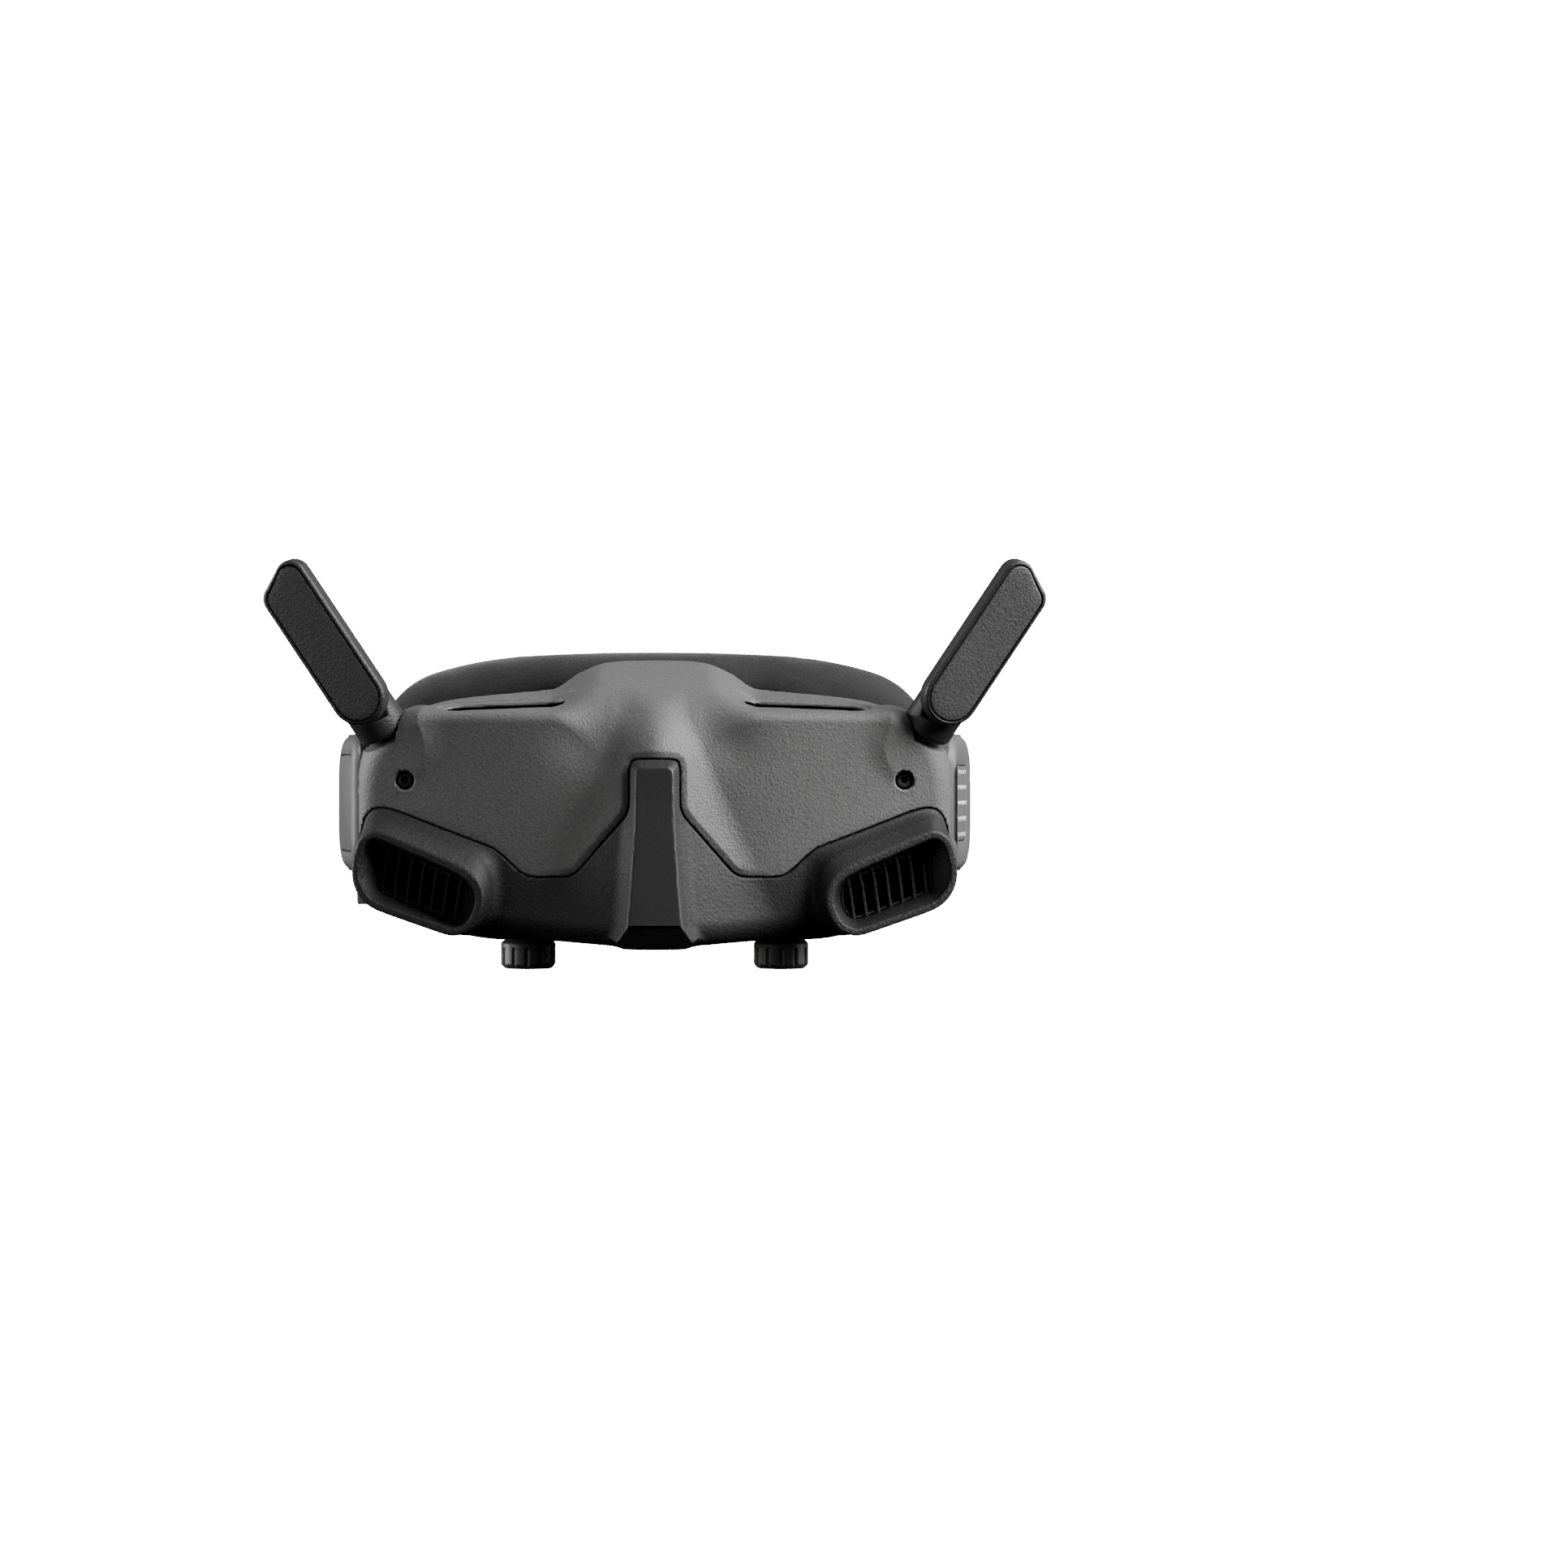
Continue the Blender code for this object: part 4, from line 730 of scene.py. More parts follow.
def moulded(name, level, roughness, grain, relief, speckle, specular):
    """Moulded plastic: spark-eroded grain in its relief and its shade, a slow change of gloss and
    a painted highlight that lightens its sharp edges."""
    colour = grey(level)
    made, shader = new_material(name, colour, roughness)
    shader.inputs["Specular IOR Level"].default_value = specular
    place = node(made, "ShaderNodeTexCoord").outputs["Object"]
    fine = noise(made, place, grain, 2.5, 0.6)
    pits = node(made, "ShaderNodeTexVoronoi", [(place, "Vector")])
    pits.inputs["Scale"].default_value = 1.0 / (grain * 1.6 * MM)
    height = node(made, "ShaderNodeMath", [(fine, 0), (pits.outputs["Distance"], 1)], operation="ADD")
    raised(made, shader, height.outputs["Value"], relief, grain * 0.35)
    slow = noise(made, place, 22.0, 2.0)
    glossed(made, shader, slow, roughness - 0.05, roughness + 0.05)
    # painted highlight: the base colour is lightened where the surface is pointy, along sharp edges
    edge_highlight = spread(made, node(made, "ShaderNodeNewGeometry").outputs["Pointiness"], 0.0, 0.35, 0.52, 0.62)
    shade = spread(made, fine, 0.5 - speckle * 2, 0.5 + speckle * 2)
    together = node(made, "ShaderNodeMath", [(shade, 0), (edge_highlight, 1)], operation="ADD")
    shaded(made, shader, colour, together.outputs["Value"], 0.72, 1.3)
    return made


def fabric(name, colour):
    """Brushed knit over foam: small loops, fuzz and a soft sheen."""
    made, shader = new_material(name, colour, 0.9)
    shader.inputs["Specular IOR Level"].default_value = 0.2
    shader.inputs["Sheen Weight"].default_value = 0.12
    shader.inputs["Sheen Roughness"].default_value = 0.45
    place = node(made, "ShaderNodeTexCoord").outputs["Object"]
    loops = node(made, "ShaderNodeTexVoronoi", [(place, "Vector")])
    loops.inputs["Scale"].default_value = 1.0 / (0.55 * MM)
    fuzz = noise(made, place, 0.25, 3.0, 0.7)
    height = node(made, "ShaderNodeMath", [(loops.outputs["Distance"], 0), (fuzz, 1)], operation="ADD")
    raised(made, shader, height.outputs["Value"], 0.45, 0.18)
    patchy = noise(made, place, 9.0, 3.0)
    total = node(made, "ShaderNodeMath", [(patchy, 0), (fuzz, 1)], operation="MULTIPLY")
    shaded(made, shader, colour, spread(made, total.outputs["Value"], 0.0, 1.0, 0.12, 0.42), 0.75, 1.25)
    glossed(made, shader, fuzz, 0.82, 0.98)
    return made


def metal(name, colour, roughness):
    """Machined metal: fine lines across it, and a cloudy change of gloss."""
    made, shader = new_material(name, colour, roughness, 1.0)
    coordinates = node(made, "ShaderNodeTexCoord").outputs["Object"]
    place = node(made, "ShaderNodeMapping", [(coordinates, "Vector")], Scale=(1.0, 1.0, 14.0))
    lines = noise(made, place.outputs["Vector"], 0.5, 3.0)
    cloudy = noise(made, coordinates, 5.0, 2.0)
    raised(made, shader, lines, 0.25, 0.05)
    shaded(made, shader, colour, cloudy, 0.82, 1.15)
    glossed(made, shader, lines, roughness - 0.08, roughness + 0.1)
    return made


def glass(name, colour, roughness, transmission):
    """Coated glass with faint smears in its gloss."""
    made, shader = new_material(name, colour, roughness)
    shader.inputs["IOR"].default_value = 1.52
    shader.inputs["Transmission Weight"].default_value = transmission
    shader.inputs["Coat Weight"].default_value = 0.4
    place = node(made, "ShaderNodeTexCoord").outputs["Object"]
    smear = noise(made, place, 6.0, 4.0, 0.65)
    glossed(made, shader, smear, roughness, roughness + 0.07)
    shaded(made, shader, colour, smear, 0.9, 1.1)
    return made


def circuit(name):
    """Solder mask with tracks under it and bright pads."""
    colour = (0.012, 0.05, 0.03)
    made, shader = new_material(name, colour, 0.4)
    place = node(made, "ShaderNodeTexCoord").outputs["Object"]
    turned_place = node(made, "ShaderNodeMapping", [(place, "Vector")], Rotation=(math.pi / 2, 0, 0))
    tracks = node(made, "ShaderNodeTexBrick", [(turned_place.outputs["Vector"], "Vector")])
    tracks.inputs["Scale"].default_value = 1.0 / (2.2 * MM)
    tracks.inputs["Mortar Size"].default_value = 0.06
    tracks.inputs["Color1"].default_value = (*colour, 1.0)
    tracks.inputs["Color2"].default_value = (0.015, 0.06, 0.036, 1.0)
    tracks.inputs["Mortar"].default_value = (0.04, 0.16, 0.08, 1.0)
    made.node_tree.links.new(tracks.outputs["Color"], shader.inputs["Base Color"])
    raised(made, shader, tracks.outputs["Fac"], 0.4, 0.04)
    return made


# Grey level, roughness, grain in millimetres, relief, speckle and specular level of each moulded plastic
PLASTICS = {
    "upper_shell": (0.072, 0.55, 0.42, 0.6, 0.16, 0.35),
    "lower_shell": (0.010, 0.58, 0.42, 0.7, 0.2, 0.28),
    "spine": (0.011, 0.5, 0.3, 0.12, 0.04, 0.35),
    "side_cover": (0.062, 0.55, 0.25, 0.2, 0.06, 0.5),
    "dot_paint": (0.62, 0.4, 0.3, 0.1, 0.04, 0.5),
    "knob_plastic": (0.04, 0.45, 0.3, 0.3, 0.1, 0.5),
    "dark_plastic": (0.017, 0.5, 0.4, 0.45, 0.2, 0.3),
    "frame_plastic": (0.018, 0.5, 0.4, 0.35, 0.16, 0.5),
    "pale_plastic": (0.45, 0.45, 0.3, 0.2, 0.16, 0.5),
    "black_screw": (0.035, 0.38, 0.2, 0.12, 0.08, 0.5),
    "blade_cover": (0.036, 0.5, 0.4, 0.6, 0.35, 0.5),
    "cable_jacket": (0.02, 0.55, 0.2, 0.3, 0.16, 0.5),
}
MATERIALS = {name: moulded(name, *values) for name, values in PLASTICS.items()}
MATERIALS.update({
    "foam_fabric": fabric("foam_fabric", grey(0.012)),
    # painted shade: a near-black sheet that darkens the duct behind its vanes
    "filter": fabric("filter", grey(0.004)),
    "steel": metal("steel", grey(0.52), 0.32),
    "brass": metal("brass", (0.62, 0.44, 0.18), 0.3),
    "aluminium": metal("aluminium", grey(0.6), 0.38),
    "lens": glass("lens", (0.9, 0.93, 0.96), 0.02, 0.92),
    "display_glass": glass("display_glass", (0.01, 0.012, 0.018), 0.06, 0.0),
    "circuit_board": circuit("circuit_board"),
})


def dress_cad_nodes():
    """Every CAD node that stays gets the detailed material of its slot."""
    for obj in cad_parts.values():
        for i, slot in enumerate(obj.material_slots):
            name = slot.material.name.split(".")[0]
            obj.material_slots[i].material = MATERIALS[name]


# ---------------------------------------------------------------- casing

def smooth_spine(lower):
    """Give the raised face of the spine its smooth, grainless finish."""
    lower.data.materials.append(MATERIALS["spine"])
    centres = np.empty(len(lower.data.polygons) * 3)
    lower.data.polygons.foreach_get("center", centres)
    x, y, z = (centres.reshape(-1, 3) / MM).T
    face = (np.abs(x) < spine_half_width(z) + 0.1) & (z < SPINE_TOP_Z + 0.1) & (y < SPINE_REAR_Y)
    lower.data.polygons.foreach_set("material_index", face.astype(np.int32))


def make_casing():
    upper = carve("upper_shell", upper_shell, (-82, -46, 20), (82, -3, 81), 0.6, symmetric=True)
    show(upper, "upper_shell", "headset", "upper_shell", "front_shell_upper")
    lower = carve("lower_shell", lower_shell, (-80, -52, 3), (80, -3, 56), 0.58, symmetric=True)
    show(lower, "lower_shell", "headset", "lower_shell", "front_shell_lower")
    smooth_spine(lower)
    frames = carve("mid_frame_visual", mid_frame, (-80, -15, 4), (80, 5, 81), 0.8, symmetric=True)
    show(frames, "frame_plastic", "headset", "frame_plastic", "mid_frame")
    face = carve("face_frame_visual", face_frame, (-80, 2, 4), (80, 24, 81), 0.8, symmetric=True)
    show(face, "frame_plastic", "headset", "frame_plastic", "face_frame")


def grown_outline(points, distance):
    """Offset a closed outline outwards, or inwards when the distance is negative."""
    count = len(points)
    area = sum(points[i][0] * points[(i + 1) % count][1] - points[(i + 1) % count][0] * points[i][1]
               for i in range(count))
    turn = 1.0 if area > 0 else -1.0
    result = []
    for i in range(count):
        ahead = Vector(points[(i + 1) % count]) - Vector(points[i - 1])
        normal = Vector((ahead.y, -ahead.x)).normalized() * turn
        result.append(tuple(Vector(points[i]) + normal * distance))
    return result


def without_doubles(points):
    """The closed outline less the points that lie on the one before."""
    kept = []
    for point in points:
        if not kept or (Vector(point) - Vector(kept[-1])).length > 0.05:
            kept.append(point)
    while (Vector(kept[0]) - Vector(kept[-1])).length <= 0.05:
        kept.pop()
    return kept


def on_line(line, x):
    start_x, start_z, slope = line
    return start_z + slope * (x - start_x)


def vane_path(index):
    """Centre line of one vane: up with a lean, then hooked over to meet the mouth's roof."""
    x = VANE_FIRST_X + VANE_PITCH * index
    floor, high = on_line(VANE_FLOOR, x + VANE_LEAN), on_line(VANE_ROOF, x)
    return [(x + VANE_LEAN, floor), (x + VANE_LEAN * 0.5, (floor + high) / 2), (x + 0.25, high - 2.2),
            (x - 0.05, high - 1.1), (x - 0.45, high - 0.3), (x - 1.2, high + 0.3)]


def make_grille(name, side):
    """A thin ring in the duct's throat with slim leaning vanes across it."""
    throat = without_doubles(rounded(DUCT_THROAT, 2.0))
    outer, inner = grown_outline(throat, -GAP), grown_outline(throat, -0.8)
    front, rear = GRILLE_FRONT_Y, GRILLE_REAR_Y
    rings = [[(side * x, y, z) for x, z in outline]
             for outline, y in ((outer, front), (outer, rear), (inner, rear), (inner, front))]
    section = ((-0.2, front - 0.5), (0.2, front - 0.5), (0.4, front - 0.25), (0.4, rear - 0.3),
               (-0.4, rear - 0.3), (-0.4, front - 0.25))
    bm = loft(rings, closed=True)
    for index in range(VANES):
        path = [Vector(p) for p in vane_path(index)]
        sections = []
        for i, point in enumerate(path):
            ahead = path[min(i + 1, len(path) - 1)] - path[max(i - 1, 0)]
            across = Vector((ahead.y, -ahead.x)).normalized()
            spots = [(point + across * offset, y) for offset, y in section]
            sections.append([(side * spot.x, y, spot.y) for spot, y in spots])
        loft(sections, bm=bm)
    return from_bmesh(name, bm)


def make_duct_shade_sheet(name, side):
    """A near-black sheet behind the vanes: painted shade deep in the duct."""
    throat = without_doubles(rounded(DUCT_THROAT, 2.0))
    rings = [[(side * x, y, z) for x, z in grown_outline(throat, -inset)]
             for inset, y in ((0.7, -25.9), (0.4, -25.8), (0.4, -25.5), (0.7, -25.4))]
    return from_bmesh(name, loft(rings))


def make_screw(name, side):
    """Pan head screw with a six-lobed socket."""
    profile = ((1.0, -5.0, 0), (1.0, 1.0, 0), (1.9, 1.05, 0), (2.02, 1.25, 0), (2.02, 2.0, 0),
               (1.85, 2.35, 0), (1.5, 2.55, 0), (1.12, 2.6, 0), (0.92, 2.52, 0.14), (0.86, 2.3, 0.16),
               (0.84, 1.2, 0.16))    # radius, height, depth of the lobes
    count = 48
    rings = []
    for radius, height, lobes in profile:
        ring = []
        for angle in (2 * math.pi * i / count for i in range(count)):
            r = radius + lobes * math.cos(6 * angle)
            ring.append((r * math.cos(angle), r * math.sin(angle), height))
        rings.append(ring)
    matrix = Matrix.Translation((side * SCREW_X, -25.0, SCREW_Z)) @ Matrix.Rotation(math.pi / 2, 4, "X")
    return from_bmesh(name, loft(rings), matrix, 30)


def make_front_details():
    for name, side in SIDES:
        grille = make_grille(f"grille_{name}", side)
        show(grille, "dark_plastic", "headset", "dark_plastic", f"intake_grille_{name}")
        # a near-black sheet of painted shade behind the vanes
        show(make_duct_shade_sheet(f"filter_{name}", side), "filter", "headset", "foam_fabric")
        screw = make_screw(f"screw_{name}", side)
        show(screw, "black_screw", "headset", "black_screw", f"front_screw_{name}")


# ---------------------------------------------------------------- side covers

def rounded_rectangle(half_u, half_v, radius, steps=10):
    points = []
    for corner, (su, sv) in enumerate(((1, 1), (-1, 1), (-1, -1), (1, -1))):
        for i in range(steps + 1):
            angle = math.pi / 2 * (corner + i / steps)
            points.append((su * (half_u - radius) + radius * math.cos(angle),
                           sv * (half_v - radius) + radius * math.sin(angle)))
    return points


def cover_matrix(side):
    """u, v, w of a side cover to x, y, z."""
    back = Vector((side * math.sin(COVER_TURN), math.cos(COVER_TURN), 0))
    out = Vector((side * math.cos(COVER_TURN), -math.sin(COVER_TURN), 0))
    matrix = Matrix((back, Vector((0, 0, 1)), out)).transposed().to_4x4()
    matrix.translation = Vector((side * COVER_CENTRE.x, COVER_CENTRE.y, COVER_CENTRE.z))
    return matrix


def domed(u, v, w):
    """A point of a side cover's face, lowered towards the cover's upper and lower ends."""
    return (u, v, w - (COVER_DOME * (v / COVER_HALF_V) ** 2 if w > 0 else 0.0))


def cap_rings(field, profile):
    """Rings of a low cap on a cover: its half sizes, corner and shift along u, and inset, w pairs."""
    half_u, half_v, corner, shift = field
    return [[domed(u + shift, v, w) for u, v in rounded_rectangle(half_u - i, half_v - i, corner - i)]
            for i, w in profile]


def make_side_cover(name, side):
    """A shallow cap with a rounded edge, and a sunk field for the panel or the dots."""
    profile = ((0.0, -4.0), (0.0, -0.9), (0.1, -0.2), (0.35, 0.5), (0.8, 1.2), (1.4, 1.7), (2.1, 2.05),
               (2.9, 2.2))
    rings = cap_rings((COVER_HALF_U, COVER_HALF_V, COVER_CORNER, 0.0), profile)
    field = (PANEL_HALF_U, PANEL_HALF_V, PANEL_CORNER, 0.0) if side < 0 else DOT_FIELD
    rings += cap_rings(field, ((-0.15, 2.2), (0.0, 2.1), (0.0, 1.15)))
    return from_bmesh(name, loft(rings), cover_matrix(side), 40)


def make_touch_panel():
    field = (PANEL_HALF_U - GAP, PANEL_HALF_V - GAP, PANEL_CORNER - GAP, 0.0)
    rings = cap_rings(field, ((0.0, 1.4), (0.0, 1.95), (0.1, 2.12), (0.35, 2.2)))
    return from_bmesh("touch_panel_visual", loft(rings), cover_matrix(-1), 40)


def make_dots():
    """Rows of dots that stand a hair proud of the field round them."""
    bm = bmesh.new()
    middle = DOTS // 2
    for column in range(DOTS):
        for row in range(DOTS):
            dot = turned([(0.6, 1.9), (0.6, 2.21), (0.5, 2.26), (0.3, 2.28)], 20)
            u, v = (column - middle) * DOT_PITCH + DOTS_U, (row - middle) * DOT_PITCH
            bmesh.ops.translate(dot, vec=domed(u, v, 0.01), verts=dot.verts)
            part = bpy.data.meshes.new("dot")
            dot.to_mesh(part)
            dot.free()
            bm.from_mesh(part)
            bpy.data.meshes.remove(part)
    return from_bmesh("dots", bm, cover_matrix(1), 50)


def make_dot_field():
    rings = cap_rings(DOT_FIELD, ((0.25, 1.3), (0.25, 2.0), (0.35, 2.14), (0.6, 2.2)))
    return from_bmesh("dot_field", loft(rings), cover_matrix(1), 40)


def make_sides():
    for name, side in SIDES:
        cover = make_side_cover(f"cover_{name}", side)
        show(cover, "side_cover", "headset", "side_cover", f"side_cover_{name}")
        mirror = Matrix.Diagonal((side, 1, 1, 1))
        anchor = carve(f"anchor_{name}", band_anchor, (74, 14, 33), (84.5, 37, 49), 0.4, mirror)
        show(anchor, "frame_plastic", "headset", "frame_plastic", f"band_anchor_{name}")
    show(make_touch_panel(), "side_cover", "headset", "side_cover", "touch_panel")
    show(make_dots(), "dot_paint", "headset", "dot_paint", "side_dots")
    show(make_dot_field(), "side_cover", "headset", "side_cover")


# ---------------------------------------------------------------- antennas and knobs

def blade_outline(inset):
    """Width, length outline of a blade: a round foot on the pivot and a slanted round tip."""
    radius = BLADE_R - inset
    foot_steps, tip_steps = 36, 14
    points = [(radius * math.cos(a), radius * math.sin(a))
              for a in (math.pi * (1 + i / foot_steps) for i in range(foot_steps + 1))]
    corner = TIP_CORNER - inset * 0.6
    slant = math.atan2(BLADE_LONG - BLADE_SHORT, 2 * BLADE_R)
    inner, outer = BLADE_LONG - inset, BLADE_SHORT - inset
    for i in range(tip_steps + 1):
        angle = (math.pi / 2 + slant) * i / tip_steps
        points.append((radius - corner + corner * math.cos(angle),
                       inner - corner - 0.6 + corner * math.sin(angle)))
    for i in range(tip_steps + 1):
        angle = math.pi / 2 + slant + (math.pi / 2 - slant) * i / tip_steps
        points.append((-radius + corner + corner * math.cos(angle),
                       outer - corner + 0.9 + corner * math.sin(angle)))
    return points


def make_blade(name, side):
    """Rounded paddle with the recess that its cover lies in."""
    profile = [(0.9, 0.0), (0.45, 0.12), (0.12, 0.45), (0.0, 0.9), (0.0, 4.3), (0.08, 4.8), (0.3, 5.15),
               (0.6, 5.35), (0.85, 5.4), (0.98, 5.3), (COVER_INSET, 5.1), (COVER_INSET, 1.3)]
    rings = [[(a, b, n) for a, b in blade_outline(i)] for i, n in profile]
    return from_bmesh(name, loft(rings), antenna_matrix(side), 40)


def make_blade_cover(name, side):
    """Thin lid in the blade's recess, with a rounded rim."""
    edge = COVER_INSET + GAP * 0.85
    profile = [(edge + 0.4, 3.4), (edge, 3.7), (edge, 5.0), (edge + 0.05, 5.2), (edge + 0.22, 5.34),
               (edge + 0.5, 5.4), (edge + 2.2, 5.46), (edge + 3.6, 5.48)]
    rings = [[(a, b, n) for a, b in blade_outline(i)] for i, n in profile]
    return from_bmesh(name, loft(rings), antenna_matrix(side), 40)


def make_antennas():
    for name, side in SIDES:
        matrix = antenna_matrix(side)
        base = carve(f"antenna_base_{name}_visual", antenna_base, (-12, -20, -18), (9, 10, 6), 0.3,
                     matrix)
        show(base, "dark_plastic", "headset", "dark_plastic", f"antenna_base_{name}")
        blade = make_blade(f"blade_{name}", side)
        show(blade, "dark_plastic", f"antenna_{name}", "dark_plastic", f"antenna_blade_{name}")
        cover = make_blade_cover(f"blade_cover_{name}", side)
        show(cover, "blade_cover", f"antenna_{name}", "dark_plastic", f"antenna_cover_{name}")


def make_knobs():
    for name, side in SIDES:
        matrix = Matrix.Translation((side * KNOB_X, KNOB_Y, 0))
        knob = carve(f"knob_{name}_visual", focus_knob, (-7.8, -7.8, -0.6), (7.8, 7.8, 8.4), 0.22, matrix)
        show(knob, "knob_plastic", f"knob_{name}", "dark_plastic", f"focus_knob_{name}")


def make_lenses():
    """Eyepieces: a domed lens in a stepped retaining ring."""
    for name, side in SIDES:
        matrix = Matrix.Translation((side * HALF_IPD, 0, LENS_Z)) @ Matrix.Rotation(-math.pi / 2, 4, "X")
        ring = turned([(15.2, 4.35), (14.4, 4.5), (14.4, 5.3), (14.8, 5.9), (15.6, 6.0), (16.6, 6.0),
                       (17.15, 5.8), (17.3, 5.4), (17.3, 4.3), (15.2, 4.3)], 96, closed=True)
        piece = from_bmesh(f"lens_ring_{name}_visual", ring, matrix, 30)
        show(piece, "dark_plastic", f"barrel_{name}", "dark_plastic", f"lens_ring_{name}")
        profile = [(LENS_R * math.cos(t), -4.6 - math.sin(t)) for t in (1.55, 1.3, 1.0, 0.6, 0.3)]
        profile += [(LENS_R, -4.6), (LENS_R, 1.2)]
        profile += [(LENS_R * math.cos(t), 1.2 + 1.6 * math.sin(t))
                    for t in (0.35, 0.7, 1.0, 1.25, 1.45, 1.55)]
        lens = from_bmesh(f"lens_{name}_visual", turned(profile, 96), matrix, 30)
        show(lens, "lens", f"barrel_{name}", "lens", f"eyepiece_lens_{name}")


def make_socket_boss():
    """Boss on the face frame that carries the power socket."""
    boss = turned([(4.4, -7.0), (4.4, -0.9), (4.1, -0.35), (3.6, 0.0)], 40)
    matrix = Matrix.Translation(SOCKET) @ Matrix.Rotation(-math.pi / 2, 4, "Y")
    show(from_bmesh("socket_boss", boss, matrix), "frame_plastic", "headset", "frame_plastic")


# ---------------------------------------------------------------- foam

def face_y(x):
    """How far back the cushion reaches: it follows a brow, and levels out at the temples."""
    return np.minimum(FOAM_BACK_Y + FOAM_CURVE * (np.abs(x) / TEMPLE_X) ** 2.3, FOAM_END_Y)


def curve_through(points, count):
    """Closed smooth curve through the points, sampled evenly in length."""
    spots = np.array(points, float)
    dense = []
    for i in range(len(spots)):
        p0, p1, p2, p3 = (spots[(i + k) % len(spots)] for k in (-1, 0, 1, 2))
        for t in np.linspace(0, 1, 12, endpoint=False):
            dense.append(0.5 * (2 * p1 + (p2 - p0) * t + (2 * p0 - 5 * p1 + 4 * p2 - p3) * t * t
                                + (3 * p1 - p0 - 3 * p2 + p3) * t ** 3))
    dense = np.array(dense)
    closed = np.vstack([dense, dense[:1]])
    length = np.concatenate([[0], np.cumsum(np.linalg.norm(np.diff(closed, axis=0), axis=1))])
    where = np.linspace(0, length[-1], count, endpoint=False)
    return np.stack([np.interp(where, length, closed[:, k]) for k in (0, 1)], 1)


def full_loop(half):
    return list(half) + [(-x, z) for x, z in reversed(half[1:-1])]


def foam_sections(count=150, inset=0.0):
    """Rings along the cushion, each a list of x, y, z points, from its frame edge round the face side."""
    outer = curve_through(full_loop(FOAM_OUTER), count)
    inner = curve_through(full_loop(FOAM_INNER), count)
    start = curve_through(full_loop(FRAME_HALF), count) * 0.985 + np.array([0, BODY_CENTRE_Z * 0.015])
    middle = (outer + inner) / 2
    toward = (middle - outer) / np.linalg.norm(middle - outer, axis=1)[:, None]
    outer_in = outer + toward * inset

    def ring(points, y):
        return [(x, yy, z) for (x, z), yy in zip(points, y)]

    def depth(points, share, shift):
        front, rear = frame_back_y(points[:, 0]), face_y(points[:, 0])
        return front + (rear - front) * share + shift

    return [ring(start, depth(start, 0, 0.0)),
            ring(start + (outer_in - start) * 0.45, depth(start, 0, 2.0)),
            ring(start + (outer_in - start) * 0.85, depth(outer, 0, 4.6)),
            ring(outer_in, depth(outer, 0, 8.0)),
            ring(outer_in, depth(outer, 0.5, 0.0)),
            ring(outer_in, depth(outer, 1, -5.0)),
            ring(outer_in + toward * 0.9, depth(outer, 1, -2.2)),
            ring(outer_in + toward * 2.6, depth(outer, 1, -0.9)),
            ring(middle, depth(middle, 1, -0.6)),
            ring(inner - toward * 2.6, depth(inner, 1, -1.4)),
            ring(inner - toward * 0.8, depth(inner, 1, -2.6)),
            ring(inner, depth(inner, 1, -5.0)),
            ring(inner, depth(inner, 0.4, 0.0)),
            ring(inner, depth(inner, 0, 0.6))]


def inflate(obj, cap, frames=20):
    """Puff a closed cushion by cloth simulation: its frame edge is held and the cap limits every move."""
    rest = np.array([v.co for v in obj.data.vertices])
    held = obj.vertex_groups.new(name="held")
    for i, co in enumerate(rest):
        near = 1.0 - float(smoothstep(1.0, 6.0, co[1] / MM - frame_back_y(co[0] / MM)))
        if near > 0:
            held.add([i], near, "REPLACE")
    cloth = obj.modifiers.new("cloth", "CLOTH")
    settings = cloth.settings
    settings.vertex_group_mass = "held"
    settings.use_pressure = True
    settings.uniform_pressure_force = 4.0
    settings.effector_weights.gravity = 0.0
    settings.quality = 4
    settings.mass = 0.2
    cloth.point_cache.frame_start = 1
    cloth.point_cache.frame_end = frames
    scene = bpy.context.scene
    for step in range(1, frames + 1):
        scene.frame_set(step)
    evaluated = obj.evaluated_get(bpy.context.evaluated_depsgraph_get())
    puffed = np.array([v.co for v in evaluated.data.vertices])
    obj.modifiers.remove(cloth)
    scene.frame_set(1)
    move = puffed - rest
    length = np.maximum(np.linalg.norm(move, axis=1), 1e-9)
    move *= np.minimum(1, cap * MM / length)[:, None]
    obj.data.vertices.foreach_set("co", (rest + move).ravel())
    obj.data.update()


def apply_modifiers(obj):
    """Replace the mesh by the one its modifiers make."""
    evaluated = obj.evaluated_get(bpy.context.evaluated_depsgraph_get())
    mesh = bpy.data.meshes.new_from_object(evaluated)
    obj.modifiers.clear()
    old = obj.data
    obj.data = mesh
    bpy.data.meshes.remove(old)


def make_foam():
    cushion = from_bmesh("foam_cushion", loft(foam_sections(inset=0.8), closed=True))
    remesh = cushion.modifiers.new("remesh", "REMESH")
    remesh.mode = "VOXEL"
    remesh.voxel_size = 2.6 * MM
    apply_modifiers(cushion)
    inflate(cushion, cap=1.6)
    smooth = cushion.modifiers.new("smooth", "SMOOTH")
    smooth.factor = 0.5
    smooth.iterations = 3
    finer = cushion.modifiers.new("finer", "SUBSURF")
    finer.levels = 1
    apply_modifiers(cushion)
    cushion.data.shade_smooth()
    show(cushion, "foam_fabric", "headset", "foam_fabric", "face_foam")


# ---------------------------------------------------------------- stage, light and camera

STAGE_GLOW, WORLD_STRENGTH = 16.0, 0.27
FLOOR_DROP = 0.05               # clear of the knobs' feet
LIGHT_TARGET = (0, -10, 45)
LIGHTS = (("key_right", (870, -330, 700), (800, 800), 54),
          ("rim_right", (1000, 100, 200), (300, 500), 4),
          ("rim_left", (-1000, 200, 240), (260, 500), 16),
          ("fill_left", (-900, -560, 60), (500, 500), 2.6),
          ("top", (0, 150, 900), (1100, 350), 1.5))      # name, place, size, power


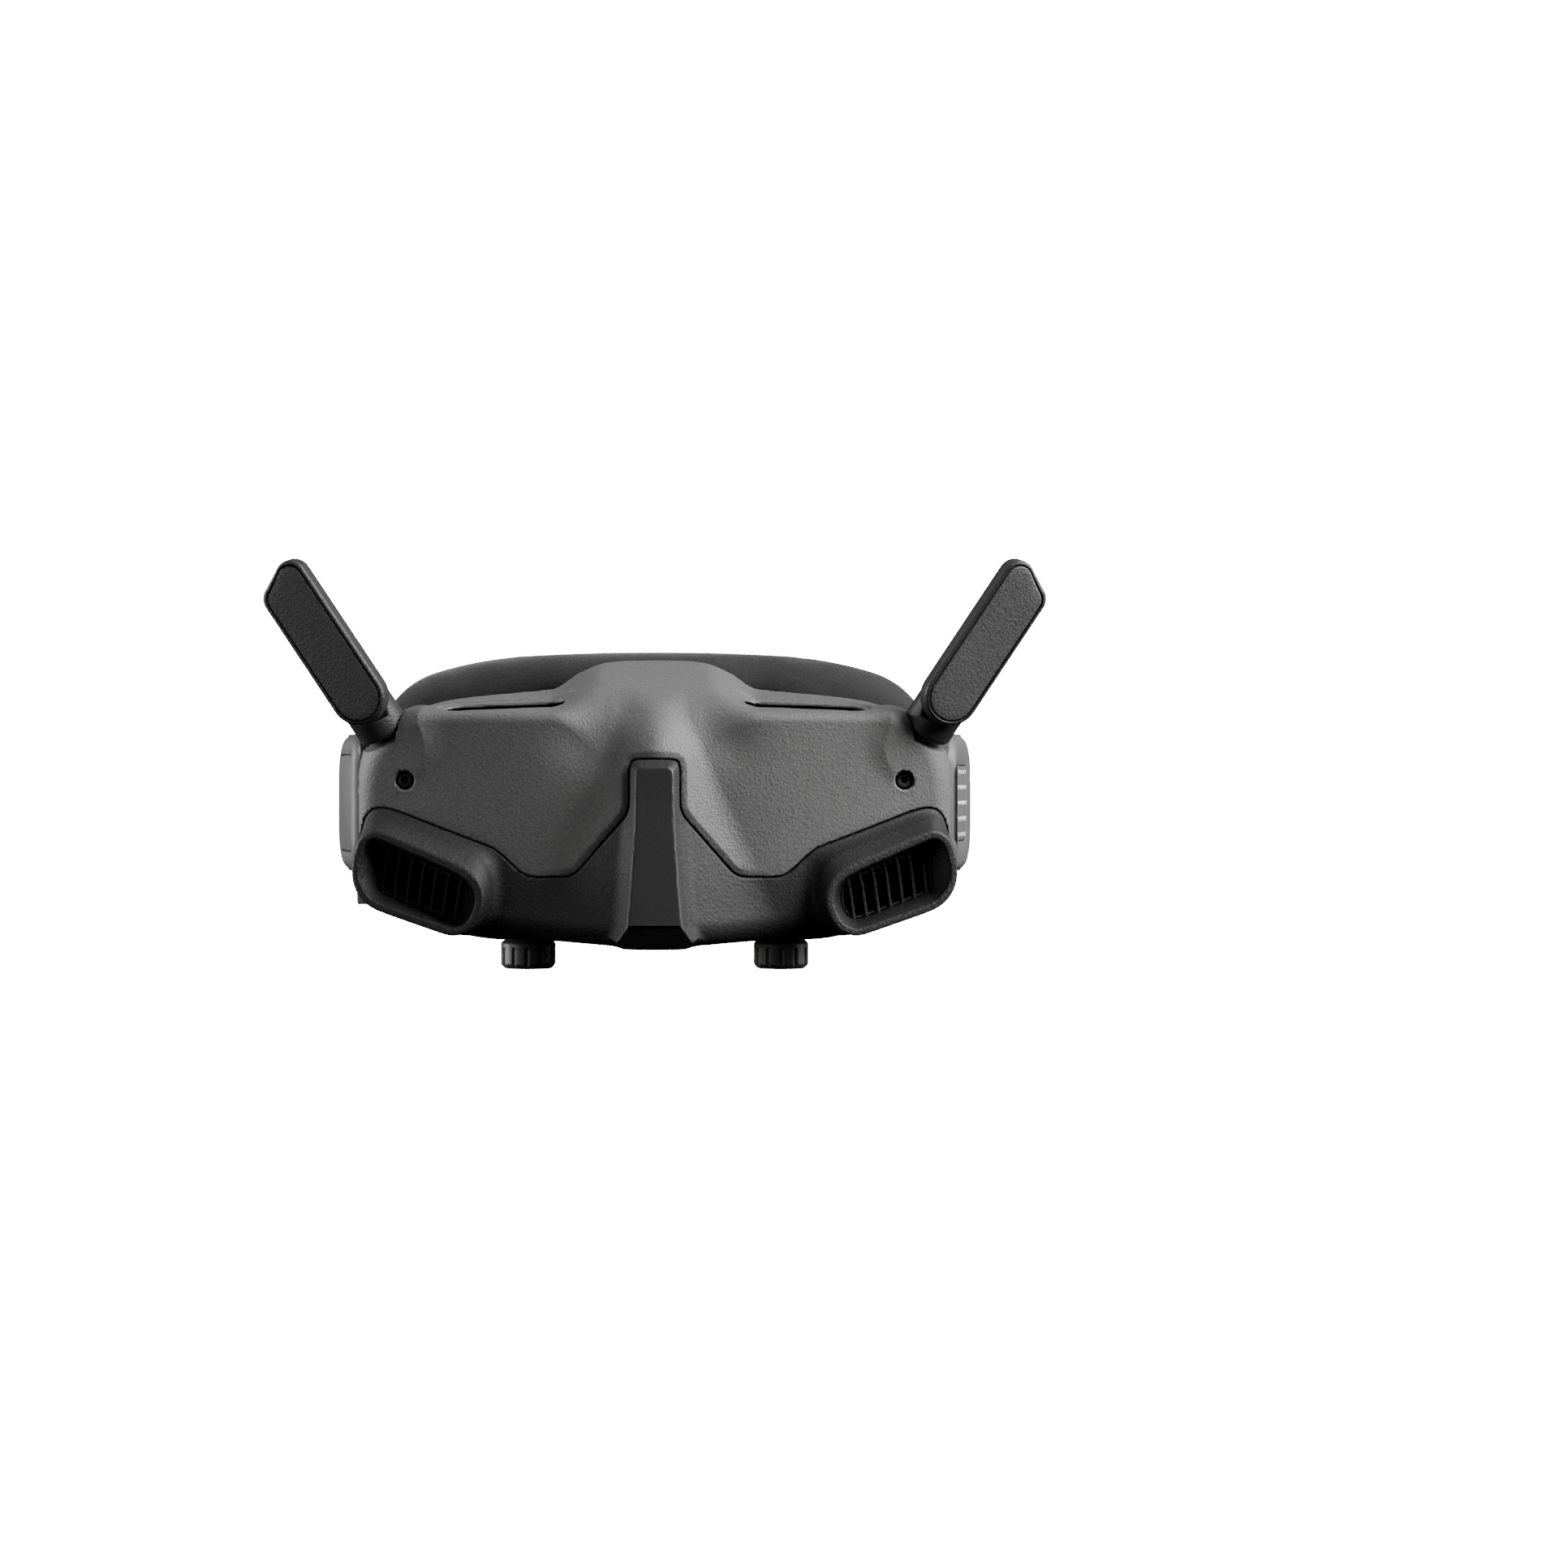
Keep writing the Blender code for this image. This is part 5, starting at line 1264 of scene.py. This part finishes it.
def make_stage():
    """A pale floor that curves up into a pale dome. It is left out of the light that falls on the object."""
    made, shader = new_material("stage", (0.8, 0.8, 0.8), 0.9)
    place = node(made, "ShaderNodeTexCoord").outputs["Object"]
    glossed(made, shader, noise(made, place, 60.0), 0.86, 0.94)
    shader.inputs["Emission Color"].default_value = (1.0, 1.0, 1.0, 1.0)
    shader.inputs["Emission Strength"].default_value = STAGE_GLOW
    flat, curve, height = 2500.0, 900.0, 3500.0
    profile = [(1.0, 0.0), (700.0, 0.0), (flat, 0.0)]
    profile += [(flat + curve * math.sin(t), curve - curve * math.cos(t))
                for t in np.linspace(0.2, math.pi / 2, 9)]
    profile += [(flat + curve, height), (1.0, height)]
    dome = from_bmesh("floor", turned([(r, z - FLOOR_DROP) for r, z in profile], 64))
    dome.data.materials.append(made)
    dome.visible_diffuse = False
    dome.visible_glossy = False
    dome.visible_transmission = False
    dome.visible_shadow = False


def area_light(name, place, size, power):
    """Soft light turned to the goggles; place and size are in millimetres."""
    data = bpy.data.lights.new(name, "AREA")
    data.shape = "RECTANGLE"
    data.size, data.size_y = size[0] * MM, size[1] * MM
    data.energy = power
    obj = bpy.data.objects.new(name, data)
    obj.location = Vector(place) * MM
    obj.rotation_euler = (Vector(LIGHT_TARGET) - Vector(place)).to_track_quat("-Z", "Y").to_euler()
    bpy.context.scene.collection.objects.link(obj)


def make_world():
    """Ambient light that comes mostly from above."""
    world = bpy.data.worlds.new("studio")
    world.use_nodes = True
    shader = world.node_tree.nodes["Background"]
    place = node(world, "ShaderNodeTexCoord").outputs["Generated"]
    height = node(world, "ShaderNodeSeparateXYZ", [(place, "Vector")]).outputs["Z"]
    up = spread(world, height, 0.0, 1.0, -0.6, 0.9)
    ramp = node(world, "ShaderNodeValToRGB", [(up, "Fac")])
    ramp.color_ramp.elements[0].color = (0.01, 0.01, 0.01, 1.0)
    ramp.color_ramp.elements[1].color = (1.0, 1.0, 1.0, 1.0)
    middle = ramp.color_ramp.elements.new(0.45)
    middle.color = (0.12, 0.12, 0.12, 1.0)
    world.node_tree.links.new(ramp.outputs["Color"], shader.inputs["Color"])
    shader.inputs["Strength"].default_value = WORLD_STRENGTH
    bpy.context.scene.world = world


def make_lights():
    for light in LIGHTS:
        area_light(*light)


SENSOR = 36.0
CAMERA_Z = 52.0
ANTENNA_PLANE_Y = -36.0
CAMERA_AWAY = 1000.0
VIEW_WIDTH = 393.2              # what the picture takes in at the antennas' plane
SHIFT_X, SHIFT_Y = 0.0825, -0.0126       # the goggles stand left of the middle


def make_camera():
    data = bpy.data.cameras.new("camera")
    data.sensor_width = SENSOR
    data.lens = SENSOR * CAMERA_AWAY / VIEW_WIDTH
    data.shift_x, data.shift_y = SHIFT_X, SHIFT_Y
    data.clip_end = 20.0
    camera = bpy.data.objects.new("camera", data)
    camera.location = Vector((0, ANTENNA_PLANE_Y - CAMERA_AWAY, CAMERA_Z)) * MM
    camera.rotation_euler = (math.pi / 2, 0, 0)
    bpy.context.scene.collection.objects.link(camera)
    bpy.context.scene.camera = camera


make_camera()
make_stage()
make_world()
make_lights()
dress_cad_nodes()
make_casing()
make_front_details()
make_sides()
make_antennas()
make_knobs()
make_lenses()
make_socket_boss()
make_foam()
